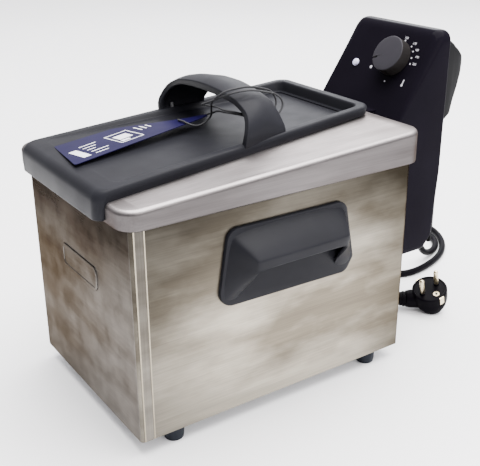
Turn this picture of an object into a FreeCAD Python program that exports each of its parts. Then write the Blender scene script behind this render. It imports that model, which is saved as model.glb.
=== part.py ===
import FreeCAD, Part
import math
import os

import Sketcher

"""A deep fryer with a removable lid, a basket and a rear control unit.

Every sub-part is drawn in the casing's frame, in millimetres: X across, Y back from the casing's
front face, Z up from its bottom edge. Placements then move that frame so that the origin lies on
the surface the fryer stands on, under the middle of its box.
"""

Vector = FreeCAD.Vector
doc = FreeCAD.newDocument("deep_fryer")

# ---------------------------------------------------------------- driving dimensions

DRIVING = {
    # the frame
    "front_y": -178.75,
    "foot_height": 14,
    # casing
    "casing_width": 188,
    "casing_depth": 270,
    "casing_height": 186,
    "casing_corner": 3,
    "sheet_gauge": 1.0,
    "base_gauge": 1.2,
    "foot_radius": 9,
    "foot_inset_x": 12,
    "foot_front": 35,
    "foot_rear": 241,
    # steel rim
    "rim_overhang": 7.4,
    "rim_corner": 16,
    "rim_gauge": 1.2,
    "skirt_bottom": 180,
    "rim_edge_height": 195.7,
    "rim_edge_tilt": 2.63,
    "seat_height": 195.9,
    "seat_tilt": 4.76,
    "seat_front_half": 72.8,
    "seat_rear_half": 63.4,
    "seat_front": -3,
    "seat_rear": 250,
    "seat_corner": 9,
    "well_front": 12,
    "well_rear": 238,
    "well_inset": 9.5,
    "ledge_width": 5,
    # oil tank
    "tank_gauge": 1.0,
    "tank_bottom": 46,
    "tank_side_gap": 1.5,
    "tank_floor_round": 10,
    # lid
    "lid_thick": 8.6,
    "lid_gap": 0.3,
    "lid_rim_width": 8,
    "lid_floor_tilt": -2.35,
    "lid_wall": 2.6,
    "lip_front": -14.5,
    "lip_thick": 4,
    "lip_drop": 22,
    "lip_round": 8,
    "locator_depth": 6,
    "arch_front": 118,
    "arch_width": 40,
    "arch_half": 66,
    "arch_height": 34,
    "arch_shoulder": 16,
    "arch_foot": 0.2,
    "arch_wall": 4.2,
    # side grips
    "grip_front_low": 75,
    "grip_front_high": 80,
    "grip_rear_low": 211,
    "grip_rear_high": 200,
    "grip_low": 97,
    "grip_high": 160.5,
    "grip_reach": 25,
    "grip_wall": 3.5,
    "grip_lip": 124,
    "grip_flange": 3.2,
    "backing_gauge": 1.2,
    # control unit
    "head_half": 56.7,
    "head_front": 280,
    "head_rear": 348,
    "head_low": 67,
    "head_high": 277,
    "panel_low": 187,
    "panel_run": 54.5,
    "head_wall": 2.5,
    "head_edge_round": 3,
    "cover_half": 50,
    "cover_bulge": 24,
    "arm_half": 24,
    "arm_low": 194,
    "arm_high": 206,
    "arm_front": 217,
    "arm_rear": 296,
    "arm_wall": 2,
    # control panel
    "knob_x": 18.5,
    "knob_up": 50.5,
    "knob_radius": 17.2,
    "knob_height": 13,
    "shaft_radius": 3,
    "lens_x": -28.5,
    "lens_up": 38.5,
    "lens_radius": 4.2,
    # element and basket
    "element_radius": 3.25,
    "element_level": 57,
    "riser_half": 14,
    "riser_rear": 223,
    "basket_front": 28,
    "basket_rear": 206,
    "basket_half": 43,
    "basket_low": 72,
    "basket_high": 172,
    "basket_gauge": 1.6,
    "basket_grip_length": 96,
    # cord
    "cord_radius": 3.7,
    "plug_radius": 18,
    "plug_depth": 21,
    "pin_radius": 2.4,
    "pin_length": 19,
    "pin_spacing": 19,
}


class Dim:
    """A size that knows both its value and the sheet expression behind it."""

    def __init__(self, value, text):
        self.value = value
        self.text = text

    def __add__(self, other):
        return Dim(self.value + size(other).value, f"({self.text} + {size(other).text})")

    def __sub__(self, other):
        return Dim(self.value - size(other).value, f"({self.text} - {size(other).text})")

    def __mul__(self, other):
        return Dim(self.value * size(other).value, f"({self.text} * {size(other).text})")

    def __truediv__(self, other):
        return Dim(self.value / size(other).value, f"({self.text} / {size(other).text})")

    def __radd__(self, other):
        return size(other) + self

    def __rsub__(self, other):
        return size(other) - self

    def __rmul__(self, other):
        return size(other) * self

    def __rtruediv__(self, other):
        return size(other) / self

    def __neg__(self):
        return Dim(-self.value, f"(0 - {self.text})")


def size(number):
    if isinstance(number, Dim):
        return number
    return Dim(float(number), f"({float(number)})")


sheet = doc.addObject("Spreadsheet::Sheet", "Sizes")
for row, (alias, number) in enumerate(DRIVING.items(), start=1):
    sheet.set(f"A{row}", alias)
    sheet.set(f"B{row}", str(number))
    sheet.setAlias(f"B{row}", alias)
doc.recompute()
D = {alias: Dim(float(number), f"Sizes.{alias}") for alias, number in DRIVING.items()}


def bind(thing, path, dimension):
    thing.setExpression(path, size(dimension).text)


def place(thing, x=0, y=0, z=0):
    """Put a sub-part's own origin at a point of the casing's frame."""
    bind(thing, "Placement.Base.x", size(x))
    bind(thing, "Placement.Base.y", D["front_y"] + y)
    bind(thing, "Placement.Base.z", D["foot_height"] + z)


def turn(thing, axis, degrees):
    thing.Placement = FreeCAD.Placement(Vector(), FreeCAD.Rotation(axis, size(degrees).value))
    bind(thing, "Placement.Rotation.Angle", degrees)


# ---------------------------------------------------------------- sketch and feature helpers

parts = {}


def keep(thing, name):
    """Name a finished sub-part; its Label is also the name of its file."""
    thing.Label = name
    parts[name] = thing
    return thing


def new_body(name):
    body = doc.addObject("PartDesign::Body", name)
    place(body)
    return body


def new_sketch(body, role, offset=0, tilt=None):
    """A sketch on one of the body's origin planes, moved along its normal and tilted about its X."""
    sketch = body.newObject("Sketcher::SketchObject", f"{body.Name}_sketch")
    plane = next(f for f in body.Origin.OriginFeatures if f.Role == role)
    sketch.AttachmentSupport = [(plane, "")]
    sketch.MapMode = "FlatFace"
    angle = size(0 if tilt is None else tilt)
    sketch.AttachmentOffset = FreeCAD.Placement(
        Vector(0, 0, size(offset).value), FreeCAD.Rotation(Vector(1, 0, 0), angle.value)
    )
    bind(sketch, "AttachmentOffset.Base.z", offset)
    if tilt is not None:
        bind(sketch, "AttachmentOffset.Rotation.Angle", angle)
    return sketch


def pin(sketch, geometry, position, x, y):
    """Hold one point of a sketch at x, y from its origin."""
    for kind, distance in (("DistanceX", size(x)), ("DistanceY", size(y))):
        index = sketch.addConstraint(
            Sketcher.Constraint(kind, -1, 1, geometry, position, distance.value)
        )
        sketch.setExpression(f"Constraints[{index}]", distance.text)


def circle(sketch, x, y, radius):
    centre = Vector(size(x).value, size(y).value, 0)
    shape = Part.Circle(centre, Vector(0, 0, 1), size(radius).value)
    geometry = sketch.addGeometry(shape)
    pin(sketch, geometry, 3, x, y)
    index = sketch.addConstraint(Sketcher.Constraint("Radius", geometry, size(radius).value))
    sketch.setExpression(f"Constraints[{index}]", size(radius).text)


def outline(sketch, corners, radius=None):
    """A closed outline, given counter-clockwise, with every corner rounded where radius is given."""
    points = [Vector(size(x).value, size(y).value, 0) for x, y in corners]
    count = len(points)
    if radius is None:
        lines = [
            sketch.addGeometry(Part.LineSegment(points[i], points[(i + 1) % count]))
            for i in range(count)
        ]
        for i in range(count):
            sketch.addConstraint(Sketcher.Constraint("Coincident", lines[i - 1], 2, lines[i], 1))
            pin(sketch, lines[i], 1, *corners[i])
        return
    arcs, starts, ends = [], [], []
    for i in range(count):
        before = (points[i - 1] - points[i]).normalize()
        after = (points[(i + 1) % count] - points[i]).normalize()
        half = before.getAngle(after) / 2
        reach = size(radius).value / math.tan(half)
        middle = (before + after).normalize()
        centre = points[i] + middle * (size(radius).value / math.sin(half))
        starts.append(points[i] + before * reach)
        ends.append(points[i] + after * reach)
        left = (-before).cross(after).z > 0
        first, last = (starts[i], ends[i]) if left else (ends[i], starts[i])
        angles = [math.atan2(p.y - centre.y, p.x - centre.x) for p in (first, last)]
        round_shape = Part.Circle(centre, Vector(0, 0, 1), size(radius).value)
        arcs.append((sketch.addGeometry(Part.ArcOfCircle(round_shape, *angles)), left))
    lines = [
        sketch.addGeometry(Part.LineSegment(ends[i], starts[(i + 1) % count]))
        for i in range(count)
    ]
    for i in range(count):
        arc, left = arcs[i]
        entry, leave = (1, 2) if left else (2, 1)
        sketch.addConstraint(Sketcher.Constraint("Tangent", lines[i - 1], 2, arc, entry))
        sketch.addConstraint(Sketcher.Constraint("Tangent", arc, leave, lines[i], 1))
        index = sketch.addConstraint(Sketcher.Constraint("Radius", arc, size(radius).value))
        sketch.setExpression(f"Constraints[{index}]", size(radius).text)
        corner = sketch.addGeometry(Part.Point(points[i]), True)
        pin(sketch, corner, 1, *corners[i])
        sketch.addConstraint(Sketcher.Constraint("PointOnObject", corner, 1, lines[i - 1]))
        sketch.addConstraint(Sketcher.Constraint("PointOnObject", corner, 1, lines[i]))


def rectangle(x0, y0, x1, y1):
    return [(x0, y0), (x1, y0), (x1, y1), (x0, y1)]


def tapered(front_half, rear_half, front, rear):
    """The corners of an outline that narrows towards the back."""
    return [(-front_half, front), (front_half, front), (rear_half, rear), (-rear_half, rear)]


def pad(body, sketch, length, reverse=False, both=False):
    feature = body.newObject("PartDesign::Pad", f"{body.Name}_pad")
    feature.Profile = sketch
    bind(feature, "Length", length)
    feature.Reversed = reverse
    if both:
        feature.SideType = "Symmetric"
    return feature


def pocket(body, sketch, length=None, reverse=False, both=False):
    """Cut a sketch through the body, or to a depth; it has to take something away."""
    doc.recompute()
    before = body.Shape.Volume
    feature = body.newObject("PartDesign::Pocket", f"{body.Name}_pocket")
    feature.Profile = sketch
    if length is None:
        feature.Type = "ThroughAll"
    else:
        bind(feature, "Length", length)
    feature.Reversed = reverse
    if both:
        feature.SideType = "Symmetric"
    doc.recompute()
    if body.Shape.Volume >= before - 1e-6:
        raise ValueError(f"{body.Name}: a pocket cuts nothing")
    return feature


def revolve(body, sketch, role="Z_Axis"):
    feature = body.newObject("PartDesign::Revolution", f"{body.Name}_revolution")
    feature.Profile = sketch
    axis = next(f for f in body.Origin.OriginFeatures if f.Role == role)
    feature.ReferenceAxis = (axis, [""])
    feature.Angle = 360
    return feature


def loft(body, first, second):
    feature = body.newObject("PartDesign::AdditiveLoft", f"{body.Name}_loft")
    feature.Profile = first
    feature.Sections = [second]
    feature.Ruled = True
    return feature


def soften(body, radius, wanted):
    """Round the edges of the body's last feature that the test picks."""
    doc.recompute()
    edges = [f"Edge{i}" for i, e in enumerate(body.Tip.Shape.Edges, start=1) if wanted(e)]
    feature = body.newObject("PartDesign::Fillet", f"{body.Name}_fillet")
    feature.Base = (body.Group[-2], edges)
    bind(feature, "Radius", radius)
    doc.recompute()
    return feature


def combine(kind, name, *shapes):
    """A Part::Cut, Part::Fuse or Part::Common of two objects that are already placed."""
    result = doc.addObject(kind, name)
    result.Base, result.Tool = shapes
    return result


def feature_of(name, shape):
    """A sub-part whose shape Part's own functions made, in the casing's frame."""
    thing = doc.addObject("Part::Feature", name)
    thing.Shape = shape
    place(thing)
    return thing


def group(name, pieces):
    """Identical fasteners share one sub-part, as separate solids."""
    result = doc.addObject("Part::Compound", name)
    result.Links = pieces
    return keep(result, name)


def value(alias):
    return DRIVING[alias]


# ---------------------------------------------------------------- places worked out from the sizes

panel_rise = D["head_high"] - D["panel_low"]
panel_length = Dim(
    math.hypot(panel_rise.value, value("panel_run")),
    f"sqrt({panel_rise.text} ^ 2 + Sizes.panel_run ^ 2)",
)
panel_turn = Dim(
    math.degrees(math.atan2(panel_rise.value, value("panel_run"))),
    f"atan2({panel_rise.text}; Sizes.panel_run)",
)


def on_panel(thing, x, up, out=0):
    """Stand a sub-part on the sloping control panel, with its own Z along the panel's normal."""
    turn(thing, Vector(1, 0, 0), panel_turn)
    along = up / panel_length
    normal = out / panel_length
    # the panel's foot is level with the rim's rear edge, a little above where the slope starts
    foot = size(22)
    place(
        thing,
        x,
        D["head_front"] + D["panel_run"] * along + D["panel_run"] / panel_length * foot
        - panel_rise * normal,
        D["panel_low"] + panel_rise * along + panel_rise / panel_length * foot
        + D["panel_run"] * normal,
    )


def seat_at(y):
    """The height of the lid's seat at a distance behind the casing's front face."""
    return D["seat_height"] + size(y) * Dim(
        math.tan(math.radians(value("seat_tilt"))), "tan(Sizes.seat_tilt * 1 deg)"
    )


def opening(inset=0):
    """The corners of the opening in the rim, or of an outline inset from it."""
    front_half = D["seat_front_half"] - D["well_inset"] - inset
    rear_half = D["seat_rear_half"] - D["well_inset"] - inset
    return tapered(front_half, rear_half, D["well_front"] + inset, D["well_rear"] - inset)


# ---------------------------------------------------------------- casing


def make_casing():
    half = D["casing_width"] / 2
    gauge = D["sheet_gauge"]
    casing = new_body("outer_casing")
    walls = new_sketch(casing, "XY_Plane")
    outline(walls, rectangle(-half, 0, half, D["casing_depth"]), D["casing_corner"])
    inner = rectangle(gauge - half, gauge, half - gauge, D["casing_depth"] - gauge)
    outline(walls, inner, D["casing_corner"] - gauge)
    pad(casing, walls, D["casing_height"])
    keep(casing, "outer_casing")

    base = new_body("base_plate")
    plate = new_sketch(base, "XY_Plane")
    outline(plate, inner, D["casing_corner"] - gauge)
    for x, y in foot_places():
        circle(plate, x, y, 2.1)
    pad(base, plate, D["base_gauge"])
    keep(base, "base_plate")

    frame = new_body("tank_frame")
    ring = new_sketch(frame, "XY_Plane", D["casing_height"] - D["rim_gauge"])
    outline(ring, inner, D["casing_corner"] - gauge)
    outline(ring, opening(D["ledge_width"]), 6)
    pad(frame, ring, D["rim_gauge"])
    keep(frame, "tank_frame")


def foot_places():
    side = D["casing_width"] / 2 - D["foot_inset_x"]
    return [(x, y) for y in (D["foot_front"], D["foot_rear"]) for x in (-side, side)]


def make_feet():
    names = ("foot_front_left", "foot_front_right", "foot_rear_left", "foot_rear_right")
    screws = []
    for name, (x, y) in zip(names, foot_places()):
        foot = new_body(name)
        profile = new_sketch(foot, "XZ_Plane")
        low = -D["foot_height"]
        outline(
            profile,
            [
                (2.1, -5),
                (5, -5),
                (5, low),
                (D["foot_radius"] - 1, low),
                (D["foot_radius"], 0),
                (2.1, 0),
            ],
        )
        revolve(foot, profile)
        place(foot, x, y)
        keep(foot, name)
        screws.append(screw(f"{name}_screw", x, y, -8, Vector(0, 0, 1), 0, 2, 9.5, 4, 3))
    group("foot_screws", screws)


def screw(name, x, y, z, axis, degrees, shank, length, head, thick):
    """A screw whose head starts at x, y, z and whose shank follows its own Z axis."""
    cap = doc.addObject("Part::Cylinder", f"{name}_head")
    bind(cap, "Radius", head)
    bind(cap, "Height", thick)
    stem = doc.addObject("Part::Cylinder", f"{name}_shank")
    bind(stem, "Radius", shank)
    bind(stem, "Height", size(length) + thick)
    whole = combine("Part::Fuse", name, cap, stem)
    turn(whole, axis, degrees)
    place(whole, x, y, z)
    return whole


# ---------------------------------------------------------------- steel rim and oil tank


def hipped_block(name, inset, drop):
    """A skirt with a shallow hipped top that rises to the lid's seat."""
    body = new_body(name)
    out = D["rim_overhang"] - inset
    half = D["casing_width"] / 2 + out
    edge = rectangle(-half, -out, half, D["casing_depth"] + out)
    corner = D["rim_corner"] - inset
    skirt = new_sketch(body, "XY_Plane", D["skirt_bottom"])
    outline(skirt, edge, corner)
    pad(body, skirt, 45)
    above = new_sketch(body, "XY_Plane", D["rim_edge_height"] - drop, D["rim_edge_tilt"])
    outline(above, rectangle(-150, -50, 150, 350))
    pocket(body, above, reverse=True)
    low = new_sketch(body, "XY_Plane", D["rim_edge_height"] - drop, D["rim_edge_tilt"])
    step = 0.4
    foot = rectangle(step - half, step - out, half - step, D["casing_depth"] + out - step)
    outline(low, foot, corner - step)
    high = new_sketch(body, "XY_Plane", D["seat_height"] - drop, D["seat_tilt"])
    seat = tapered(
        D["seat_front_half"] - inset,
        D["seat_rear_half"] - inset,
        D["seat_front"] + inset,
        D["seat_rear"] - inset,
    )
    outline(high, seat, D["seat_corner"] - inset)
    loft(body, low, high)
    return body


def make_rim():
    gauge = D["rim_gauge"]
    outer = hipped_block("rim_outer", size(0), size(0))
    inner = hipped_block("rim_inner", gauge, gauge)
    below = new_sketch(inner, "XY_Plane", D["skirt_bottom"])
    half = D["casing_width"] / 2 + D["rim_overhang"] - gauge
    reach = D["rim_overhang"] - gauge
    outline(
        below,
        rectangle(-half, -reach, half, D["casing_depth"] + reach),
        D["rim_corner"] - gauge,
    )
    pad(inner, below, 5, reverse=True)
    shell = combine("Part::Cut", "rim_shell", outer, inner)

    # the well runs from the ledge under the tank's flange up to the seat
    well = new_body("rim_well")
    ring = new_sketch(well, "XY_Plane", D["casing_height"])
    outline(ring, opening(-gauge), D["seat_corner"])
    pad(well, ring, 45)
    lip = new_sketch(well, "XY_Plane", D["seat_height"] - gauge / 2, D["seat_tilt"])
    outline(lip, rectangle(-150, -50, 150, 350))
    pocket(well, lip, reverse=True)
    joined = combine("Part::Fuse", "rim_joined", shell, well)

    cutter = new_body("rim_opening")
    hole = new_sketch(cutter, "XY_Plane", D["casing_height"] + gauge)
    outline(hole, opening(), D["seat_corner"] - gauge)
    pad(cutter, hole, 60)
    throat = new_sketch(cutter, "XY_Plane", D["casing_height"] - 5)
    outline(throat, opening(D["ledge_width"]), 6)
    pad(cutter, throat, 10)
    slot = new_sketch(cutter, "XY_Plane", D["arm_low"] - 0.3)
    side = D["arm_half"] + 0.4
    outline(slot, rectangle(-side, D["well_rear"] - 20, side, D["head_front"] + 10))
    pad(cutter, slot, 60)
    rim = combine("Part::Cut", "top_rim", joined, cutter)
    keep(rim, "top_rim")


def make_tank():
    tank = new_body("oil_tank")
    gauge = D["tank_gauge"]
    gap = D["ledge_width"] + D["tank_side_gap"]
    top = D["casing_height"] + D["rim_gauge"]
    bowl = new_sketch(tank, "XY_Plane", D["tank_bottom"])
    outline(bowl, opening(gap), 14)
    pad(tank, bowl, top - D["tank_bottom"] + gauge)
    low = value("tank_bottom")
    soften(tank, D["tank_floor_round"], lambda e: e.BoundBox.ZMax < low + 0.01)
    flange = new_sketch(tank, "XY_Plane", top)
    outline(flange, opening(0.5), 7)
    pad(tank, flange, gauge)
    cavity = new_body("tank_cavity")
    hollow = new_sketch(cavity, "XY_Plane", D["tank_bottom"] + gauge)
    outline(hollow, opening(gap + gauge), 13)
    pad(cavity, hollow, top - D["tank_bottom"] + 10)
    floor = value("tank_bottom") + value("tank_gauge")
    soften(cavity, D["tank_floor_round"] - gauge, lambda e: e.BoundBox.ZMax < floor + 0.01)
    keep(combine("Part::Cut", "oil_tank_shell", tank, cavity), "oil_tank")


# ---------------------------------------------------------------- lid


def in_lid_frame(thing, up=0):
    """The lid's own frame is tilted with its top face, which is its XY plane."""
    turn(thing, Vector(1, 0, 0), D["seat_tilt"])
    place(thing, 0, 0, D["seat_height"] + D["lid_gap"] + D["lid_thick"] + up)


def lid_outline(inset=0):
    return tapered(
        D["seat_front_half"] + 1 - inset,
        D["seat_rear_half"] - inset,
        D["lip_front"] + inset,
        D["seat_rear"] - inset,
    )


def trim_outside(body, corners, radius, role="XY_Plane"):
    """Cut away everything outside an outline, right through the body."""
    frame = new_sketch(body, role)
    outline(frame, rectangle(-200, -200, 400, 400))
    outline(frame, corners, radius)
    pocket(body, frame, 1000, both=True)


def make_lid():
    lid = new_body("lid_shell")
    thick = D["lid_thick"]
    front = D["lip_front"]
    side = new_sketch(lid, "YZ_Plane")
    outline(
        side,
        [
            (front, -D["lip_drop"]),
            (front + D["lip_thick"], -D["lip_drop"]),
            (front + D["lip_thick"], -thick),
            (D["seat_rear"], -thick),
            (D["seat_rear"], 0),
            (front, 0),
        ],
    )
    pad(lid, side, 200, both=True)
    nose = front.value + 0.01
    soften(lid, D["lip_round"], lambda e: e.BoundBox.YMax < nose and e.BoundBox.ZMin > -0.01)
    trim_outside(lid, lid_outline(), D["seat_corner"])
    locator = new_sketch(lid, "XY_Plane", -thick - D["locator_depth"])
    outline(locator, opening(1.2), D["seat_corner"] - 2)
    pad(lid, locator, D["locator_depth"] + 1)
    # the tray's floor slopes down towards the back of the lid
    tray = new_sketch(lid, "XY_Plane", -0.2, D["lid_floor_tilt"])
    outline(tray, lid_outline(D["lid_rim_width"] + 1), 6)
    pocket(lid, tray, 60, reverse=True)
    under = new_sketch(lid, "XY_Plane", -0.2 - D["lid_wall"], D["lid_floor_tilt"])
    outline(under, opening(1.2 + D["lid_wall"]), 5)
    pocket(lid, under, 60)
    in_lid_frame(lid)
    keep(lid, "lid_shell")
    make_arch()


def make_arch():
    handle = new_body("lid_handle")
    middle = -D["arch_front"] - D["arch_width"] / 2
    band = new_sketch(handle, "XZ_Plane", middle)
    for inset in (size(0), D["arch_wall"]):
        half = D["arch_half"] - inset
        top = D["arch_height"] - inset
        low = inset - 60
        corners = [
            (-half, low), (half, low), (half, 10), (half - 13, top - 8), (0, top), (13 - half, top - 8),
            (-half, 10),
        ]
        outline(band, corners, D["arch_shoulder"] - inset)
    pad(handle, band, D["arch_width"], both=True)
    below = new_sketch(handle, "XZ_Plane", middle)
    outline(below, rectangle(-100, -100, 100, D["arch_foot"]))
    pocket(handle, below, 200, both=True)
    in_lid_frame(handle)
    keep(handle, "lid_handle")

    screws = []
    for side in (-1, 1):
        for y in (D["arch_front"] + 9, D["arch_front"] + D["arch_width"] - 9):
            stem = doc.addObject("Part::Cylinder", f"handle_screw_{len(screws)}")
            bind(stem, "Radius", 1.4)
            bind(stem, "Height", 10)
            turn(stem, Vector(1, 0, 0), D["seat_tilt"])
            x = side * (D["arch_half"] - D["arch_wall"] / 2)
            place(stem, x, y, seat_at(y) + 3)
            screws.append(stem)
    group("lid_handle_screws", screws)


TAG = [(-42, 4), (16.4, -3.3), (-5, 127), (-10, 131), (-15, 114), (-45, 58)]
TAG_LOOP = [
    (-13.7, 103.8, 218.1), (-5, 103, 219.4), (2, 105, 217.6), (4.5, 111, 215.6), (4.5, 118, 217),
    (7, 124, 223), (13, 120, 231.6), (24, 113.4, 239.4), (33, 112.4, 245.6), (38, 117, 250.6),
    (43, 127.5, 253), (42.5, 139, 252.4), (40, 151, 248.8), (38.5, 162.5, 245), (40, 167, 235),
    (43, 159, 227), (44.5, 147, 227), (44, 136, 229.5), (42, 126, 233), (36, 117.5, 235),
    (28.5, 117.5, 235.2), (21, 120, 234.2), (12.5, 119, 233.4), (13, 110.5, 236), (21.5, 109.5, 238.8),
    (29.5, 112, 242.4), (38, 117, 247.2), (46, 125, 251), (47.5, 136, 251), (47, 148, 248),
    (47, 162.5, 243.8), (49.5, 167, 235), (51, 158, 226.5), (50, 147, 226), (47.5, 136, 228.5),
    (42, 126.5, 231.6), (33, 121, 232), (23, 121, 231), (13, 124, 228), (3, 126.5, 223.8), (-7, 128, 220.6),
]


def make_tag():
    """The card lies tilted on the lid, with its tip held up by the elastic."""
    tag = new_body("hang_tag")
    card = new_sketch(tag, "XY_Plane")
    outline(card, TAG)
    circle(card, -10, 122, 1.3)
    pad(tag, card, 0.8)
    turn(tag, Vector(0.1024, -0.0489, 0), size(6.47))
    place(tag, 0, 0, 206.4)
    keep(tag, "hang_tag")
    keep(feature_of("tag_loop", tube_along(TAG_LOOP, 0.8)), "tag_loop")


# ---------------------------------------------------------------- side grips and badge


def make_grip(name, sign):
    grip = new_body(name)
    wall = D["casing_width"] / 2
    face = wall + D["grip_flange"]
    reach = wall + D["grip_reach"]
    low, high, lip = D["grip_low"], D["grip_high"], D["grip_lip"]
    inset = D["grip_wall"]

    def across(corners):
        return [(sign * x, z) for x, z in corners]

    depth = D["grip_rear_low"] - D["grip_front_low"]
    side = new_sketch(grip, "XZ_Plane", -D["grip_front_low"] - depth / 2)
    hood = [(wall, low), (face, low), (reach, lip), (reach, lip + 12), (face + 9, high), (wall, high)]
    outline(side, across(hood))
    pad(grip, side, depth, both=True)
    edge = [
        (D["grip_front_high"] + 3, low),
        (D["grip_rear_high"], low),
        (D["grip_rear_low"], low + 11),
        (D["grip_rear_high"] - 2, high - 6),
        (D["grip_rear_high"] - 10, high),
        (D["grip_front_high"] + 3, high),
        (D["grip_front_low"], lip),
    ]
    trim_outside(grip, edge, 3, "YZ_Plane")
    middle = (D["grip_front_high"] + D["grip_rear_high"]) / 2
    inner = new_sketch(grip, "XZ_Plane", -middle)
    roof = high - inset
    hollow = [
        (wall - 1, low - 5),
        (reach + 5, low - 5),
        (reach + 5, lip),
        (reach - inset, lip),
        (reach - inset, lip + 10),
        (face + 7, roof),
        (wall - 1, roof),
    ]
    outline(inner, across(hollow))
    pocket(grip, inner, D["grip_rear_high"] - D["grip_front_high"] - 4 * inset, both=True)
    keep(grip, name)


def make_grips():
    screws = []
    wall = D["casing_width"] / 2
    for side, sign in (("left", -1), ("right", 1)):
        make_grip(f"side_grip_{side}", sign)
        backing = new_body(f"grip_backing_{side}")
        front = D["grip_front_high"] + 3 * D["grip_wall"]
        rear = D["grip_rear_high"] - 3 * D["grip_wall"]
        plate = new_sketch(backing, "YZ_Plane", sign * (wall + D["backing_gauge"] / 2))
        top = D["grip_high"] - D["grip_wall"]
        outline(plate, rectangle(front, D["grip_low"] + 2, rear, top), 3)
        pad(backing, plate, D["backing_gauge"], both=True)
        keep(backing, f"grip_backing_{side}")
        for y in (D["grip_front_high"] + 4, D["grip_rear_high"] - 3.5):
            at = sign * (wall - D["sheet_gauge"] - 2)
            name = f"grip_screw_{len(screws)}"
            height = D["grip_low"] + 25
            angle = size(90 * sign)
            screws.append(screw(name, at, y, height, Vector(0, 1, 0), angle, 1.5, 6, 3, 2))
    group("grip_screws", screws)


def make_badge():
    badge = new_body("front_badge")
    plate = new_sketch(badge, "XZ_Plane", 0)
    outline(plate, rectangle(-33, 106, 33, 127), 6)
    pad(badge, plate, 1)
    keep(badge, "front_badge")


# ---------------------------------------------------------------- control unit


def make_rail():
    rail = new_body("head_rail")
    section = new_sketch(rail, "XY_Plane", 80)
    rear = D["casing_depth"]
    front = D["head_front"]
    outline(
        section,
        [
            (-30, rear), (30, rear), (30, front), (18, front), (18, front - 2), (28, front - 2),
            (28, rear + 2), (-28, rear + 2), (-28, front - 2), (-18, front - 2), (-18, front),
            (-30, front),
        ],
    )
    pad(rail, section, 90)
    keep(rail, "head_rail")


def make_head():
    head = new_body("head_shell")
    front, rear, low, high = (D[k] for k in ("head_front", "head_rear", "head_low", "head_high"))
    top = front + D["panel_run"]
    side = new_sketch(head, "YZ_Plane")
    outline(
        side,
        [
            (front, low), (rear - 14, low), (rear - 5, low + 9), (rear, low + 80),
            (rear, high - 40), (rear - 2, high), (top, high), (front, D["panel_low"]),
        ],
    )
    pad(head, side, D["head_half"] * 2, both=True)
    front_y = front.value + 0.01
    soften(
        head,
        D["head_edge_round"],
        lambda e: e.BoundBox.YMin < front_y and e.BoundBox.XLength < 1 and e.BoundBox.ZLength > 50,
    )
    wall = D["head_wall"]
    inner = new_sketch(head, "YZ_Plane")
    outline(
        inner,
        [
            (front + wall, low + wall), (rear + 20, low + wall), (rear + 20, high - wall),
            (top + 1.4, high - wall), (front + wall, D["panel_low"] - 0.7),
        ],
    )
    pocket(head, inner, (D["head_half"] - wall) * 2, both=True)
    slot = new_sketch(head, "XZ_Plane", -front + 10)
    slot_half = D["arm_half"] + 0.2
    outline(slot, rectangle(-slot_half, D["arm_low"] - 0.2, slot_half, D["arm_high"] + 0.2))
    pocket(head, slot, 28)
    holes = []
    for label, x, up, radius in (
        ("knob", D["knob_x"], D["knob_up"], D["shaft_radius"] + 0.25),
        ("lens", D["lens_x"], D["lens_up"], D["lens_radius"]),
    ):
        drill = doc.addObject("Part::Cylinder", f"{label}_drill")
        bind(drill, "Radius", radius)
        bind(drill, "Height", 20)
        on_panel(drill, x, up, -10)
        holes.append(drill)
    drills = combine("Part::Fuse", "panel_drills", *holes)
    head.Label = "head_block"
    keep(combine("Part::Cut", "drilled_head", head, drills), "head_shell")


def make_rear_cover():
    cover = new_body("head_rear_cover")
    rear = D["head_rear"]
    half = D["head_half"] - D["head_wall"] - 0.1
    plate = new_sketch(cover, "XZ_Plane", -rear)
    top = D["head_high"] - D["head_wall"] - 0.1
    low = D["head_low"] + D["head_wall"] + 0.1
    outline(plate, rectangle(-half, low, half, top), 2)
    circle(plate, 25, 95, 4)
    circle(plate, -22, 78, 7.5)
    for x, z in cover_screws():
        circle(plate, x, z, 1.5)
    pad(cover, plate, 2.5)
    bulge = new_sketch(cover, "YZ_Plane")
    shell_profile = [
        (rear - 1, 190), (rear, 190), (rear + 10, 196.4), (rear + 12.8, 207.5),
        (rear + D["cover_bulge"] - 1.6, 235.6), (rear + D["cover_bulge"], 246.5),
        (rear + D["cover_bulge"] - 4, 254), (rear + 8, 262), (rear, 267.4), (rear - 1, 267.4),
    ]
    outline(bulge, shell_profile)
    pad(cover, bulge, D["cover_half"] * 2, both=True)
    inside = new_sketch(cover, "YZ_Plane")
    hollow_profile = [
        (rear - 6, 194), (rear - 0.5, 194), (rear + 8, 198.4), (rear + 10.8, 208.5),
        (rear + D["cover_bulge"] - 3.6, 236.6), (rear + D["cover_bulge"] - 2, 246),
        (rear + D["cover_bulge"] - 5.4, 252), (rear + 7, 259.7), (rear - 1, 264.5), (rear - 6, 264.5),
    ]
    outline(inside, hollow_profile)
    pocket(cover, inside, D["cover_half"] * 2 - 4, both=True)
    keep(cover, "head_rear_cover")

    screws = []
    for x, z in cover_screws():
        name = f"cover_screw_{len(screws)}"
        flip = size(90)
        screws.append(screw(name, x, rear + 1.2, z, Vector(1, 0, 0), flip, 1.5, 9, 2.8, 1.2))
    group("head_screws", screws)


def cover_screws():
    return [(x, z) for z in (82, 176) for x in (-47, 47)]


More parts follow.
